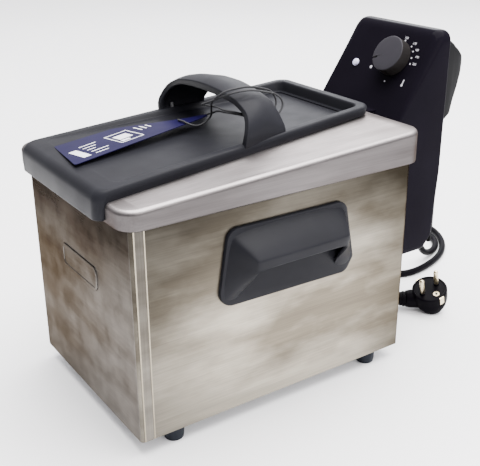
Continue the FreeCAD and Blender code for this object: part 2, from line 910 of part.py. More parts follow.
def make_arm():
    arm = new_body("head_arm")
    wall = D["arm_wall"]
    block = new_sketch(arm, "XY_Plane", D["arm_low"])
    half = D["arm_half"]
    outline(block, rectangle(-half, D["arm_front"], half, D["arm_rear"]))
    pad(arm, block, D["arm_high"] - D["arm_low"])
    hollow = new_sketch(arm, "XZ_Plane", -D["arm_rear"] - 1)
    inner = half - wall
    outline(hollow, rectangle(-inner, D["arm_low"] + wall, inner, D["arm_high"] - wall))
    pocket(arm, hollow, D["arm_rear"] - D["arm_front"] + 1 - wall, reverse=True)
    floor = new_sketch(arm, "XY_Plane", D["arm_low"] - 1)
    for x in (-D["riser_half"], D["riser_half"]):
        circle(floor, x, D["riser_rear"], D["element_radius"])
    circle(floor, 5, D["riser_rear"] + 2, 1)
    pocket(arm, floor, wall + 2, reverse=True)
    keep(arm, "head_arm")


def rounded_path(points, reach_at):
    """Straight runs joined by tangent arcs; reach_at says how far an arc starts from its corner."""
    corners = [Vector(*p) for p in points]
    edges = []
    radii = []
    at = corners[0]
    for before, corner, after in zip(corners, corners[1:], corners[2:]):
        back = before - corner
        ahead = after - corner
        half_turn = (math.pi - back.getAngle(ahead)) / 2
        reach = reach_at(min(back.Length, ahead.Length), half_turn)
        arc_radius = reach / math.tan(half_turn)
        back.normalize()
        ahead.normalize()
        inward = (back + ahead).normalize()
        middle = corner + inward * (arc_radius / math.cos(half_turn) - arc_radius)
        start = corner + back * reach
        end = corner + ahead * reach
        edges.append(Part.LineSegment(at, start).toShape())
        edges.append(Part.Arc(start, middle, end).toShape())
        radii.append(arc_radius)
        at = end
    edges.append(Part.LineSegment(at, corners[-1]).toShape())
    return Part.Wire(edges), min(radii)


def swept_tube(path, points, radius):
    start, towards = (Vector(*p) for p in points[:2])
    section = Part.Wire(Part.Circle(start, towards - start, radius).toShape())
    return path.makePipeShell([section], True, False, 2)


def tube_along(points, radius):
    """A tube whose arcs are each as large as the shorter run beside them allows."""
    path, tightest = rounded_path(points, lambda shorter, half_turn: 0.45 * shorter)
    tube = swept_tube(path, points, radius)
    volume = math.pi * radius ** 2 * path.Length
    print(
        f"tube of radius {radius}: {path.Length:.0f} long, tightest arc {tightest:.1f},"
        f" volume {tube.Volume / volume:.3f} of section times length"
    )
    return tube


def bent_rod(points, radius, bend):
    """A rod with every corner bent to the same radius."""
    path, _ = rounded_path(points, lambda shorter, half_turn: bend * math.tan(half_turn))
    return swept_tube(path, points, radius)


def make_element():
    radius = value("element_radius")
    level = value("element_level")
    half = value("riser_half")
    rear = value("riser_rear")
    route = [
        (-half, rear, value("arm_low") + 6), (-half, rear, level), (-42, rear - 12, level),
        (-42, 38, level), (42, 38, level), (42, rear - 12, level), (half, rear, level),
        (half, rear, value("arm_low") + 6),
    ]
    keep(feature_of("heating_element", bent_rod(route, radius, 9)), "heating_element")

    clamp = new_body("element_clamp")
    plate = new_sketch(clamp, "XY_Plane", 120)
    front = D["riser_rear"] - 6
    outline(plate, rectangle(-22, front, 22, front + 11), 3)
    for x in (-D["riser_half"], D["riser_half"]):
        circle(plate, x, D["riser_rear"], D["element_radius"])
    circle(plate, 5, D["riser_rear"] + 2, 1)
    pad(clamp, plate, 5)
    keep(clamp, "element_clamp")

    bulb = doc.addObject("Part::Cylinder", "bulb")
    bind(bulb, "Radius", 3)
    bind(bulb, "Height", 80)
    turn(bulb, Vector(1, 0, 0), size(-90))
    place(bulb, 26, 100, 66)
    keep(bulb, "sensor_bulb")
    capillary = [
        (26, 180, 66), (26, 200, 66), (14, 213, 66), (5, 219, 72), (5, rear + 2, 94),
        (5, rear + 2, value("arm_low") + 8),
    ]
    keep(feature_of("sensor_capillary", bent_rod(capillary, 1, 8)), "sensor_capillary")


def make_controls():
    knob = new_body("control_knob")
    disc = new_sketch(knob, "XY_Plane")
    circle(disc, 0, 0, D["knob_radius"])
    circle(disc, 0, 0, D["shaft_radius"])
    pad(knob, disc, D["knob_height"])
    cap = new_sketch(knob, "XY_Plane", D["knob_height"] - 3)
    circle(cap, 0, 0, D["knob_radius"] - 1)
    pad(knob, cap, 3)
    notch = new_sketch(knob, "XY_Plane", D["knob_height"])
    edge = D["knob_radius"]
    outline(notch, rectangle(-edge - 1, -0.8, 3 - edge, 0.8))
    pocket(knob, notch, 2)
    on_panel(knob, D["knob_x"], D["knob_up"], 0.5)
    keep(knob, "control_knob")

    shaft = doc.addObject("Part::Cylinder", "shaft")
    bind(shaft, "Radius", D["shaft_radius"])
    bind(shaft, "Height", D["knob_height"] - 3 + 0.5 + 9)
    on_panel(shaft, D["knob_x"], D["knob_up"], -9)
    keep(shaft, "thermostat_shaft")

    thermostat = new_body("thermostat_body")
    block = new_sketch(thermostat, "XY_Plane", -D["head_wall"] - 22)
    outline(block, rectangle(-15, -15, 15, 15), 3)
    pad(thermostat, block, 22)
    bore = new_sketch(thermostat, "XY_Plane", -9.3)
    circle(bore, 0, 0, D["shaft_radius"] + 0.05)
    pocket(thermostat, bore, 9, reverse=True)
    on_panel(thermostat, D["knob_x"], D["knob_up"])
    keep(thermostat, "thermostat_body")

    lens = new_body("indicator_lens")
    profile = new_sketch(lens, "XZ_Plane")
    radius = D["lens_radius"]
    back = -D["head_wall"]
    outline(profile, [(0, back), (radius, back), (radius, 0.5), (radius - 1.2, 1.1), (0, 1.4)])
    revolve(lens, profile)
    on_panel(lens, D["lens_x"], D["lens_up"])
    keep(lens, "indicator_lens")

    lamp = doc.addObject("Part::Cylinder", "lamp")
    bind(lamp, "Radius", 3.6)
    bind(lamp, "Height", 14)
    on_panel(lamp, D["lens_x"], D["lens_up"], -D["head_wall"] - 14)
    keep(lamp, "indicator_lamp")


def make_inner_electrics():
    wall = D["head_front"] + D["head_wall"]
    make_block("terminal_block", -42, wall, 100, 32, 14, 16)
    make_block("safety_switch", 24, wall, 140, 20, 9, 12)
    cutout_depth = D["head_rear"] - 2.5 - 7.5 - wall
    make_block("thermal_cutout", 12, wall, 84, 26, cutout_depth, 22)

    button = new_body("reset_button")
    profile = new_sketch(button, "XZ_Plane")
    rear = D["head_rear"]
    outline(profile, [(0, -7), (5.5, -7), (5.5, -5.5), (3.9, -5.5), (3.9, 2), (0, 2)])
    revolve(button, profile)
    turn(button, Vector(1, 0, 0), size(-90))
    place(button, 25, rear, 95)
    keep(button, "reset_button")


def make_block(name, x, y, z, width, depth, height):
    box = doc.addObject("Part::Box", name)
    bind(box, "Length", width)
    bind(box, "Width", depth)
    bind(box, "Height", height)
    place(box, x, y, z)
    keep(box, name)


# ---------------------------------------------------------------- basket


def make_basket():
    half = D["basket_half"]
    front, rear = D["basket_front"], D["basket_rear"]
    low, high, gauge = D["basket_low"], D["basket_high"], D["basket_gauge"]
    shell = new_body("basket_shell")
    block = new_sketch(shell, "XY_Plane", low)
    outline(block, rectangle(-half, front, half, rear), 12)
    pad(shell, block, high - low)
    hollow = new_sketch(shell, "XY_Plane", low + gauge)
    inner = rectangle(gauge - half, front + gauge, half - gauge, rear - gauge)
    outline(hollow, inner, 12 - gauge)
    pocket(shell, hollow, 200, reverse=True)
    holes = new_sketch(shell, "XY_Plane", low - 1)
    for column in range(-3, 4):
        for row in range(6):
            circle(holes, column * 11, 45 + row * 29, 3)
    pocket(shell, holes, gauge + 2, reverse=True)
    keep(shell, "basket_shell")

    rim = new_body("basket_rim")
    ring = new_sketch(rim, "XY_Plane", high)
    outline(ring, rectangle(-half - 1, front - 1, half + 1, rear + 1), 13)
    outline(ring, inner, 12 - gauge)
    pad(rim, ring, 3)
    keep(rim, "basket_rim")

    pivot = new_body("basket_handle_pivot")
    cheek = new_sketch(pivot, "XZ_Plane", -front - 1.6)
    outline(cheek, rectangle(-11, high - 12, -8, high + 9))
    outline(cheek, rectangle(8, high - 12, 11, high + 9))
    pad(pivot, cheek, 7, reverse=True)
    pin_sketch = new_sketch(pivot, "YZ_Plane")
    circle(pin_sketch, front + 5, high + 5.6, 1.6)
    pad(pivot, pin_sketch, 22, both=True)
    keep(pivot, "basket_handle_pivot")

    handle = new_body("basket_handle")
    eye = new_sketch(handle, "YZ_Plane")
    circle(eye, front + 5, high + 5.6, 3.2)
    circle(eye, front + 5, high + 5.6, 1.65)
    pad(handle, eye, 14, both=True)
    stem = new_sketch(handle, "XZ_Plane", -front - 8)
    for x in (-5, 5):
        circle(stem, x, high + 5.6, 1.8)
    pad(handle, stem, 62, reverse=True)
    keep(handle, "basket_handle")

    grip = new_body("basket_grip")
    body = new_sketch(grip, "XZ_Plane", -front - 45)
    outline(body, rectangle(-10, high + 0.6, 10, high + 11), 4)
    pad(grip, body, D["basket_grip_length"] - 20, reverse=True)
    sockets = new_sketch(grip, "XZ_Plane", -front - 45)
    for x in (-5, 5):
        circle(sockets, x, high + 5.6, 1.8)
    pocket(grip, sockets, 25)
    keep(grip, "basket_grip")


# ---------------------------------------------------------------- cord and plug

CORD = [
    (-22, 358, 77.6), (-22, 382, 77), (-24, 402, 62), (-29, 414, 38), (-36, 427, 14), (-44, 446, -5),
    (-52, 470, -10.2), (-68, 491, -10.2), (-95, 503, -10.2), (-125, 492, -10.2), (-145, 460, -10.2),
    (-146, 420, -10.2), (-124, 384, -10.2), (-86, 362, -10.2), (-46, 368, -10.2), (-22, 396, -10.2),
    (-26, 435, -10.2), (-42, 475, -10.2), (-72, 505, -10.2), (-110, 520, -10.2), (-150, 508, -10.2),
    (-172, 474, -10.2), (-176, 430, -10.2), (-164, 385, -10.2), (-135, 345, -10.2),
    (-95, 317, -10.2), (-50, 305, -10.2), (-14, 304, -9), (9, 314, -6), (20, 330, -3),
]


def make_gland():
    gland = new_body("cord_gland")
    profile = new_sketch(gland, "XZ_Plane")
    outline(
        profile,
        [(0, -5), (9.5, -5), (9.5, -2.5), (7.5, -2.5), (7.5, 0.3), (7, 2), (5.2, 23), (0, 23)],
    )
    revolve(gland, profile)
    bore = new_sketch(gland, "XY_Plane", 30)
    circle(bore, 0, 0, D["cord_radius"])
    pocket(gland, bore, 20)
    turn(gland, Vector(1, 0, 0), size(-90))
    place(gland, -22, D["head_rear"], 78)
    keep(gland, "cord_gland")


def make_cord():
    cord = feature_of("power_cord", tube_along(CORD, value("cord_radius")))
    keep(cord, "power_cord")


PLUG_FACE = (46, 360.6, 11)


def in_plug_frame(thing, out=0):
    """The plug's own Z runs out of its face, and its Y along the row of pins."""
    normal = Vector(0.17, -0.34, 0.925).normalize()
    row = Vector(0.06, 0.92, 0.33)
    across = row.cross(normal).normalize()
    turned = FreeCAD.Rotation(across, normal.cross(across), normal, "ZXY")
    thing.Placement = FreeCAD.Placement(Vector(), turned)
    place(thing, *[PLUG_FACE[i] + normal[i] * out for i in range(3)])


def make_plug():
    body = new_body("plug_body")
    profile = new_sketch(body, "XZ_Plane")
    radius = D["plug_radius"]
    bottom = -D["plug_depth"]
    outline(profile, [(0, 0), (0, bottom), (10, bottom), (radius - 1, -12), (radius, -10), (radius, 0)])
    revolve(body, profile)
    recess = new_sketch(body, "XY_Plane")
    for y in (-D["pin_spacing"] / 2, D["pin_spacing"] / 2):
        circle(recess, 0, y, D["pin_radius"])
    circle(recess, 10, 0, 2.4)
    pocket(body, recess, 8)
    in_plug_frame(body)
    body.Label = "plug_block"
    neck = neck_shape()
    keep(combine("Part::Fuse", "plug_with_neck", body, neck), "plug_body")

    pins = []
    for y in (-D["pin_spacing"] / 2, D["pin_spacing"] / 2):
        stem = new_body(f"plug_pin_{len(pins)}")
        rod = new_sketch(stem, "XZ_Plane")
        side, tip = D["pin_radius"], D["pin_length"]
        outline(rod, [(0, -8), (side, -8), (side, tip - 1), (side - 1, tip), (0, tip)])
        revolve(stem, rod)
        in_plug_frame(stem)
        shift = stem.Placement.Rotation.multVec(Vector(0, y.value, 0))
        place(stem, *[PLUG_FACE[i] + shift[i] for i in range(3)])
        pins.append(stem)
    group("plug_pins", pins)

    clips = []
    for sign in (-1, 1):
        clip = doc.addObject("Part::Box", f"earth_clip_{len(clips)}")
        bind(clip, "Length", 1)
        bind(clip, "Width", 5)
        bind(clip, "Height", 9)
        in_plug_frame(clip)
        side = sign * (value("plug_radius") - 0.2) - 0.5
        corner = clip.Placement.Rotation.multVec(Vector(side, -2.5, -9))
        place(clip, *[PLUG_FACE[i] + corner[i] for i in range(3)])
        clips.append(clip)
    group("plug_earth_clips", clips)


def neck_shape():
    """The plug's neck: a cone from inside its body to where the cord enters."""
    neck = doc.addObject("Part::Cone", "plug_neck")
    end = Vector(*CORD[-1])
    start = Vector(43.5, 363, -2.2)
    run = start - end
    bind(neck, "Radius1", 5)
    bind(neck, "Radius2", 8)
    bind(neck, "Height", run.Length)
    neck.Placement = FreeCAD.Placement(Vector(), FreeCAD.Rotation(Vector(0, 0, 1), run))
    place(neck, *end)
    return neck


# ---------------------------------------------------------------- the whole fryer


def check_and_export():
    """Stop on a broken feature; otherwise write one file per sub-part."""
    doc.recompute()
    for thing in doc.Objects:
        if "Invalid" in thing.State or "Error" in thing.State:
            raise ValueError(f"{thing.Name} is broken: {thing.State}")
    os.makedirs("parts", exist_ok=True)
    for name, thing in parts.items():
        shape = thing.Shape
        if shape.isNull() or not shape.isValid() or not shape.Solids:
            raise ValueError(f"{name} has no valid solid")
        shape.exportStep(f"parts/{name}.step")
        box = shape.BoundBox
        corners = (box.XMin, box.YMin, box.ZMin, box.XMax, box.YMax, box.ZMax)
        print(name, len(shape.Solids), round(shape.Volume), [round(v, 1) for v in corners])


def main():
    make_casing()
    make_feet()
    make_rim()
    make_tank()
    make_lid()
    make_tag()
    make_grips()
    make_badge()
    make_rail()
    make_head()
    make_rear_cover()
    make_arm()
    make_element()
    make_controls()
    make_inner_electrics()
    make_basket()
    make_gland()
    make_cord()
    make_plug()
    check_and_export()


main()
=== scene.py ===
"""The looks of a deep fryer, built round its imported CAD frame.

Lengths in this file are millimetres in the casing's own frame (X across, Y back from the casing's
front face, Z up from its bottom edge) until at() or scene_matrix() turns them into scene metres.
"""

import math

import bmesh
import bpy
from mathutils import Matrix, Vector


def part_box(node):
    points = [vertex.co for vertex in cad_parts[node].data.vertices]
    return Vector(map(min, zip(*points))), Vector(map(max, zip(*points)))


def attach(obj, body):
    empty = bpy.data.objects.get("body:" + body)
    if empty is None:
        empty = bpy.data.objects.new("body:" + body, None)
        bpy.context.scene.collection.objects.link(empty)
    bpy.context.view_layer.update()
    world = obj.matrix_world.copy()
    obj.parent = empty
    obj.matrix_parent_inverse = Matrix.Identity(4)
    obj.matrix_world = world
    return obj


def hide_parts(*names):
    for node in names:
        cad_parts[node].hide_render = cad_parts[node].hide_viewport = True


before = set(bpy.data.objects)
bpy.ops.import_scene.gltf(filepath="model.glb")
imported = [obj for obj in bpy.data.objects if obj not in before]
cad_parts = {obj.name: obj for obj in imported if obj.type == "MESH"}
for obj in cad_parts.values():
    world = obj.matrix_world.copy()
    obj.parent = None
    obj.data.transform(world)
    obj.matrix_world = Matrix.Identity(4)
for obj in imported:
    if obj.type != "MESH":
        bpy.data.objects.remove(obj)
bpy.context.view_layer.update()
CASING_LOW, CASING_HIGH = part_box("outer_casing")

# ---------------------------------------------------------------- sizes, in the casing's frame

CASING_HALF = 94
CASING_DEPTH = 270
CASING_HEIGHT = 186
CASING_CORNER = 3
TABLE = -14

RIM_HALF = 101.4
RIM_FRONT = -7.4
RIM_REAR = 277.4
RIM_CORNER = 16
SKIRT_BOTTOM = 180
SEAT_FRONT_HALF = 72.8
SEAT_REAR_HALF = 63.4
SEAT_REAR = 250
SEAT_SLOPE = math.tan(math.radians(4.76))

LID_GAP = 0.3
LID_THICK = 8.6
LIP_FRONT = -14.5
LIP_BOTTOM = 181.5

HEAD_HALF = 56.7
HEAD_FRONT = 280
HEAD_REAR = 348
HEAD_LOW = 67
HEAD_HIGH = 277
PANEL_LOW = 187
PANEL_RUN = 54.5


def at(x, y, z):
    """A point of the casing's frame, in scene metres."""
    return Vector((x / 1000, CASING_LOW.y + y / 1000, CASING_LOW.z + z / 1000))


def rim_level(y):
    return 195.4 + 0.046 * (y + 7.4)


def seat_level(y):
    return 195.9 + SEAT_SLOPE * y


def lid_bottom(y):
    return seat_level(y) + LID_GAP


def lid_top(y):
    return lid_bottom(y) + LID_THICK


def tray_floor(y):
    return 204.9 + 0.042 * y


def blend(low, high, value):
    """0 below low, 1 above high and an even ease between them."""
    t = min(1, max(0, (value - low) / (high - low)))
    return t * t * (3 - 2 * t)


# ---------------------------------------------------------------- mesh building


def finish_mesh(name, verts, faces, body, stands_for=(), sharp=32):
    """A smooth-shaded piece whose edges stay sharp where its faces meet at more than sharp degrees."""
    mesh = bpy.data.meshes.new(name)
    mesh.from_pydata([tuple(v) for v in verts], [], faces)
    work = bmesh.new()
    work.from_mesh(mesh)
    bmesh.ops.remove_doubles(work, verts=work.verts, dist=1e-6)
    bmesh.ops.recalc_face_normals(work, faces=work.faces)
    limit = math.radians(sharp)
    for face in work.faces:
        face.smooth = True
    for edge in work.edges:
        if len(edge.link_faces) == 2:
            edge.smooth = edge.calc_face_angle(0) < limit
    work.to_mesh(mesh)
    work.free()
    piece = bpy.data.objects.new(name, mesh)
    bpy.context.scene.collection.objects.link(piece)
    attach(piece, body)
    for node in [stands_for] if isinstance(stands_for, str) else stands_for:
        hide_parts(node)
    return piece


def skin(name, rings, body, stands_for=(), caps=(True, True), looped=False, sharp=32):
    """A surface through rings of equally many points, each a closed loop of scene points."""
    count = len(rings[0])
    verts = [p for ring in rings for p in ring]
    faces = []
    last = len(rings) if looped else len(rings) - 1
    for row in range(last):
        here, there = row * count, (row + 1) % len(rings) * count
        for i in range(count):
            j = (i + 1) % count
            faces.append((here + i, here + j, there + j, there + i))
    if caps[0] and not looped:
        faces.append(tuple(range(count))[::-1])
    if caps[1] and not looped:
        faces.append(tuple(range((len(rings) - 1) * count, len(rings) * count)))
    return finish_mesh(name, verts, faces, body, stands_for, sharp)


def rounded(corners, radii, steps=8):
    """The points of a flat outline whose corners are arcs; radii is one number or one per corner."""
    count = len(corners)
    if not hasattr(radii, "__len__"):
        radii = [radii] * count
    points = []
    for i in range(count):
        corner = Vector(corners[i])
        back = (Vector(corners[i - 1]) - corner).normalized()
        ahead = (Vector(corners[(i + 1) % count]) - corner).normalized()
        half = back.angle(ahead) / 2
        radius = max(radii[i], 0.01)
        centre = corner + (back + ahead).normalized() * (radius / math.sin(half))
        start = corner + back * (radius / math.tan(half)) - centre
        turn = math.pi - 2 * half
        if back.x * ahead.y - back.y * ahead.x > 0:
            turn = -turn
        for step in range(steps + 1):
            angle = turn * step / steps
            x = start.x * math.cos(angle) - start.y * math.sin(angle)
            y = start.x * math.sin(angle) + start.y * math.cos(angle)
            points.append((centre.x + x, centre.y + y))
    return points


def level_ring(corners, radii, height, steps=8):
    """A rounded outline seen from above, at a height that is a number or a function of y."""
    lift = height if callable(height) else lambda y: height
    return [at(x, y, lift(y)) for x, y in rounded(corners, radii, steps)]


def side_ring(corners, radii, x, steps=8):
    """A rounded outline in a plane across X, its corners given as (y, z)."""
    return [at(x, y, z) for y, z in rounded(corners, radii, steps)]


def front_ring(corners, radii, y, steps=8):
    """A rounded outline in a plane across Y, its corners given as (x, z)."""
    return [at(x, y, z) for x, z in rounded(corners, radii, steps)]


def rectangle(x0, y0, x1, y1):
    return [(x0, y0), (x1, y0), (x1, y1), (x0, y1)]


def tapered(front_half, rear_half, front, rear):
    return [(-front_half, front), (front_half, front), (rear_half, rear), (-rear_half, rear)]


def quarter(radius, steps=5):
    """Inset and rise of a rounded edge, from its upright side to its flat top."""
    turns = [math.pi / 2 * i / steps for i in range(steps + 1)]
    return [(radius * (1 - math.cos(a)), radius * math.sin(a)) for a in turns]


def lathe(name, profile, place, body, stands_for=(), steps=72, sharp=32):
    """A profile of (radius, height) points turned about the local Z of a placing matrix."""
    rings = []
    for radius, height in profile:
        radius = max(radius, 0.001)
        ring = []
        for i in range(steps):
            angle = 2 * math.pi * i / steps
            local = Vector((radius * math.cos(angle), radius * math.sin(angle), height))
            ring.append(place @ (local / 1000))
        rings.append(ring)
    return skin(name, rings, body, stands_for, sharp=sharp)


def block(name, corners, body, stands_for=(), bevel=0.0, segments=3):
    """A box-like solid from the eight corners of its bottom and top rings."""
    count = len(corners) // 2
    faces = [tuple(range(count))[::-1], tuple(range(count, 2 * count))]
    for i in range(count):
        j = (i + 1) % count
        faces.append((i, j, count + j, count + i))
    piece = finish_mesh(name, corners, faces, body, stands_for)
    if bevel:
        soften(piece, bevel, segments)
    return piece


def soften(piece, width, segments=3, angle=30):
    bevel = piece.modifiers.new("bevel", "BEVEL")
    bevel.width = width / 1000
    bevel.segments = segments
    bevel.limit_method = "ANGLE"
    bevel.angle_limit = math.radians(angle)
    bevel.harden_normals = True


def cut_away(piece, tool):
    """Take a hidden tool's shape out of a piece."""
    cut = piece.modifiers.new("cut", "BOOLEAN")
    cut.operation = "DIFFERENCE"
    cut.solver = "EXACT"
    cut.object = tool
    bpy.context.view_layer.objects.active = piece
    bpy.ops.object.modifier_apply(modifier=cut.name)
    bpy.data.objects.remove(tool)


def tube_along(name, points, radius, resolution, body, stands_for):
    """A round tube on one smooth curve from the first point to the last."""
    curve = bpy.data.curves.new(name, "CURVE")
    curve.dimensions = "3D"
    spline = curve.splines.new("NURBS")
    spline.points.add(len(points) - 1)
    for point, spot in zip(spline.points, points):
        point.co = (*at(*spot), 1)
        # the thickness is set at the points, which keeps the curve's own box tight
        point.radius = radius
    spline.order_u = 3
    spline.use_endpoint_u = True
    curve.resolution_u = resolution
    curve.bevel_depth = 1
    curve.bevel_resolution = 8
    tube = bpy.data.objects.new(name, curve)
    bpy.context.scene.collection.objects.link(tube)
    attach(tube, body)
    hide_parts(stands_for)
    return tube


def axis_matrix(origin, z_axis, x_hint=(1, 0, 0)):
    """A placing matrix whose Z follows z_axis, in scene units."""
    z = Vector(z_axis).normalized()
    x = (Vector(x_hint) - z * Vector(x_hint).dot(z)).normalized()
    y = z.cross(x)
    turn = Matrix((x, y, z)).transposed().to_4x4()
    return Matrix.Translation(origin) @ turn


# ---------------------------------------------------------------- materials

# a Mix node's sockets once it mixes colours
MIX_FACTOR, MIX_DARK, MIX_LIGHT, MIX_RESULT = 0, 6, 7, 2


def new_material(name):
    material = bpy.data.materials.new(name)
    material.use_nodes = True
    tree = material.node_tree
    return material, tree, tree.nodes["Principled BSDF"]


def node(tree, kind, **settings):
    made = tree.nodes.new(kind)
    for key, setting in settings.items():
        if key in made.inputs:
            made.inputs[key].default_value = setting
        else:
            setattr(made, key, setting)
    return made


def object_noise(tree, scale, detail, stretch=(1, 1, 1)):
    """Noise in the object's own coordinates, stretched along its axes."""
    coordinates = node(tree, "ShaderNodeTexCoord")
    mapping = node(tree, "ShaderNodeMapping")
    mapping.inputs["Scale"].default_value = stretch
    noise = node(tree, "ShaderNodeTexNoise", Scale=scale, Detail=detail)
    tree.links.new(coordinates.outputs["Object"], mapping.inputs["Vector"])
    tree.links.new(mapping.outputs["Vector"], noise.inputs["Vector"])
    return noise.outputs["Fac"]


def spread(tree, source, low, high):
    """Map a 0.3 to 0.7 signal on to a range of values."""
    ranged = node(tree, "ShaderNodeMapRange")
    ranged.inputs["From Min"].default_value = 0.3
    ranged.inputs["From Max"].default_value = 0.7
    ranged.inputs["To Min"].default_value = low
    ranged.inputs["To Max"].default_value = high
    tree.links.new(source, ranged.inputs["Value"])
    return ranged.outputs["Result"]


def tint(tree, source, dark, light):
    mix = node(tree, "ShaderNodeMix", data_type="RGBA")
    mix.inputs[MIX_DARK].default_value = (*dark, 1)
    mix.inputs[MIX_LIGHT].default_value = (*light, 1)
    tree.links.new(source, mix.inputs[MIX_FACTOR])
    return mix.outputs[MIX_RESULT]


def bump(tree, shader, source, strength, distance):
    made = node(tree, "ShaderNodeBump", Strength=strength, Distance=distance)
    tree.links.new(source, made.inputs["Height"])
    tree.links.new(made.outputs["Normal"], shader.inputs["Normal"])


def ranged(tree, value, low, high, at_low, at_high):
    """A value carried smoothly from one range to another."""
    carried = node(tree, "ShaderNodeMapRange", interpolation_type="SMOOTHSTEP")
    for key, number in (("From Min", low), ("From Max", high), ("To Min", at_low), ("To Max", at_high)):
        carried.inputs[key].default_value = number
    tree.links.new(value, carried.inputs["Value"])
    return carried.outputs["Result"]


def part_of(tree, source, output, axis):
    """One component of a coordinate or normal that belongs to the object."""
    vector = node(tree, source)
    parts = node(tree, "ShaderNodeSeparateXYZ")
    tree.links.new(vector.outputs[output], parts.inputs[0])
    return parts.outputs[axis]


def times(tree, first, second):
    product = node(tree, "ShaderNodeMath", operation="MULTIPLY")
    for socket, value in zip(product.inputs, (first, second)):
        if isinstance(value, (int, float)):
            socket.default_value = value
        else:
            tree.links.new(value, socket)
    return product.outputs[0]


def painted_light_pool(tree, edge_tone):
    """Painted light: the sides are painted brightest low in their middle and shaded darker towards their
    ends.
    """
    place = node(tree, "ShaderNodeTexCoord")
    flat = node(tree, "ShaderNodeVectorMath", operation="MULTIPLY")
    flat.inputs[1].default_value = (0, 1, 1)
    away = node(tree, "ShaderNodeVectorMath", operation="DISTANCE")
    centre = at(0, 150, 60)
    away.inputs[1].default_value = (0, centre.y, centre.z)
    tree.links.new(place.outputs["Object"], flat.inputs[0])
    tree.links.new(flat.outputs[0], away.inputs[0])
    return ranged(tree, away.outputs["Value"], 0.05, 0.17, 1.0, edge_tone)


def brushed_steel(
    name, dark, light, rough, grain, top_shade=1.0, upright=1.0, streak=(1, 0.35, 1.6), painted_pool_edge=1.0
):
    """Sheet steel: a fine grain one way, faint smears, painted shade high up and on upright faces, and a
    painted pool of light low in the middle of the sides.
    """
    material, tree, shader = new_material(name)
    shader.inputs["Metallic"].default_value = 1
    fine = object_noise(tree, 900, 4, grain)
    broad = object_noise(tree, 16, 5, streak)
    long = object_noise(tree, 60, 3, (1, 0.12, 0.9))
    height = part_of(tree, "ShaderNodeTexCoord", "Object", "Z")
    facing = part_of(tree, "ShaderNodeNewGeometry", "Normal", "Z")
    # painted shade: the colour grows darker high up, near the rim
    tone = ranged(tree, height, at(0, 0, 60).z, at(0, 0, 205).z, 1.0, top_shade)
    # painted light: a pool of light low in the middle of the sides, with painted shade towards their ends
    tone = times(tree, tone, painted_light_pool(tree, painted_pool_edge))
    # painted shade: faces that stand upright are darker than faces turned up
    tone = times(tree, tone, ranged(tree, facing, 0.2, 0.85, upright, 1.0))
    tone = times(tree, tone, spread(tree, fine, 0.9, 1.1))
    tone = times(tree, tone, spread(tree, long, 0.8, 1.16))
    toned = node(tree, "ShaderNodeVectorMath", operation="SCALE")
    tree.links.new(tint(tree, spread(tree, broad, -0.4, 1.4), dark, light), toned.inputs[0])
    tree.links.new(tone, toned.inputs["Scale"])
    tree.links.new(toned.outputs[0], shader.inputs["Base Color"])
    tree.links.new(spread(tree, broad, rough - 0.06, rough + 0.08), shader.inputs["Roughness"])
    shader.inputs["Anisotropic"].default_value = 0.4
    shader.inputs["Specular Tint"].default_value = (0.3, 0.28, 0.26, 1)
    bump(tree, shader, fine, 0.05, 0.0002)
    return material


def plastic(name, colour, rough, grain=1800, depth=0.12, shine=0.5, tone=0.12):
    """Moulded plastic with a fine texture and a slightly uneven tone."""
    material, tree, shader = new_material(name)
    lighter = tuple(min(1, c * (1 + tone)) for c in colour)
    darker = tuple(c * (1 - tone) for c in colour)
    patch = spread(tree, object_noise(tree, 25, 3), 0, 1)
    tree.links.new(tint(tree, patch, darker, lighter), shader.inputs["Base Color"])
    tree.links.new(
        spread(tree, object_noise(tree, 60, 4), rough - 0.03, rough + 0.04), shader.inputs["Roughness"]
    )
    shader.inputs["Specular IOR Level"].default_value = shine
    if depth:
        bump(tree, shader, object_noise(tree, grain, 2), depth, 0.0002)
    return material


def metal(name, colour, rough):
    material, tree, shader = new_material(name)
    shader.inputs["Metallic"].default_value = 1
    patch = spread(tree, object_noise(tree, 120, 3), 0, 1)
    darker = tuple(c * 0.85 for c in colour)
    tree.links.new(tint(tree, patch, darker, colour), shader.inputs["Base Color"])
    tree.links.new(
        spread(tree, object_noise(tree, 200, 3), rough - 0.04, rough + 0.06), shader.inputs["Roughness"]
    )
    return material


def lamp_lens():
    material, tree, shader = new_material("lamp_lens")
    shader.inputs["Base Color"].default_value = (0.62, 0.6, 0.78, 1)
    shader.inputs["Roughness"].default_value = 0.16
    shader.inputs["Subsurface Weight"].default_value = 0.4
    shader.inputs["Subsurface Radius"].default_value = (0.004, 0.004, 0.005)
    # painted glow: the lamp is off, yet its lens is given a faint emission
    shader.inputs["Emission Color"].default_value = (0.6, 0.58, 0.8, 1)
    shader.inputs["Emission Strength"].default_value = 0.12
    return material


def print_white():
    material, tree, shader = new_material("print_white")
    shader.inputs["Base Color"].default_value = (0.5, 0.49, 0.53, 1)
    shader.inputs["Roughness"].default_value = 0.5
    return material


# painted shade: the walls are darker high up near the rim, with a painted pool of light low in the middle
# of the sides
STEEL = brushed_steel(
    "steel", (0.15, 0.13, 0.1), (0.4, 0.365, 0.3), 0.34, (1, 0.02, 1),
    top_shade=0.3, streak=(1, 0.45, 1.2), painted_pool_edge=0.36,
)
# painted shade: a darker copy of the sheet steel for the front and rear walls and the badge, darker still
# high up
STEEL_FRONT_SHADED = brushed_steel(
    "steel_front_shaded", (0.12, 0.11, 0.1), (0.18, 0.168, 0.155), 0.36, (0.02, 1, 1),
    top_shade=0.16, streak=(0.5, 1, 1.6),
)
# painted shade: the folds are darker high up
STEEL_FOLD = brushed_steel(
    "steel_fold", (0.1, 0.09, 0.075), (0.2, 0.185, 0.16), 0.4, (1, 1, 0.02), top_shade=0.4
)
STEEL_BEAD = metal("steel_bead", (0.34, 0.3, 0.23), 0.35)
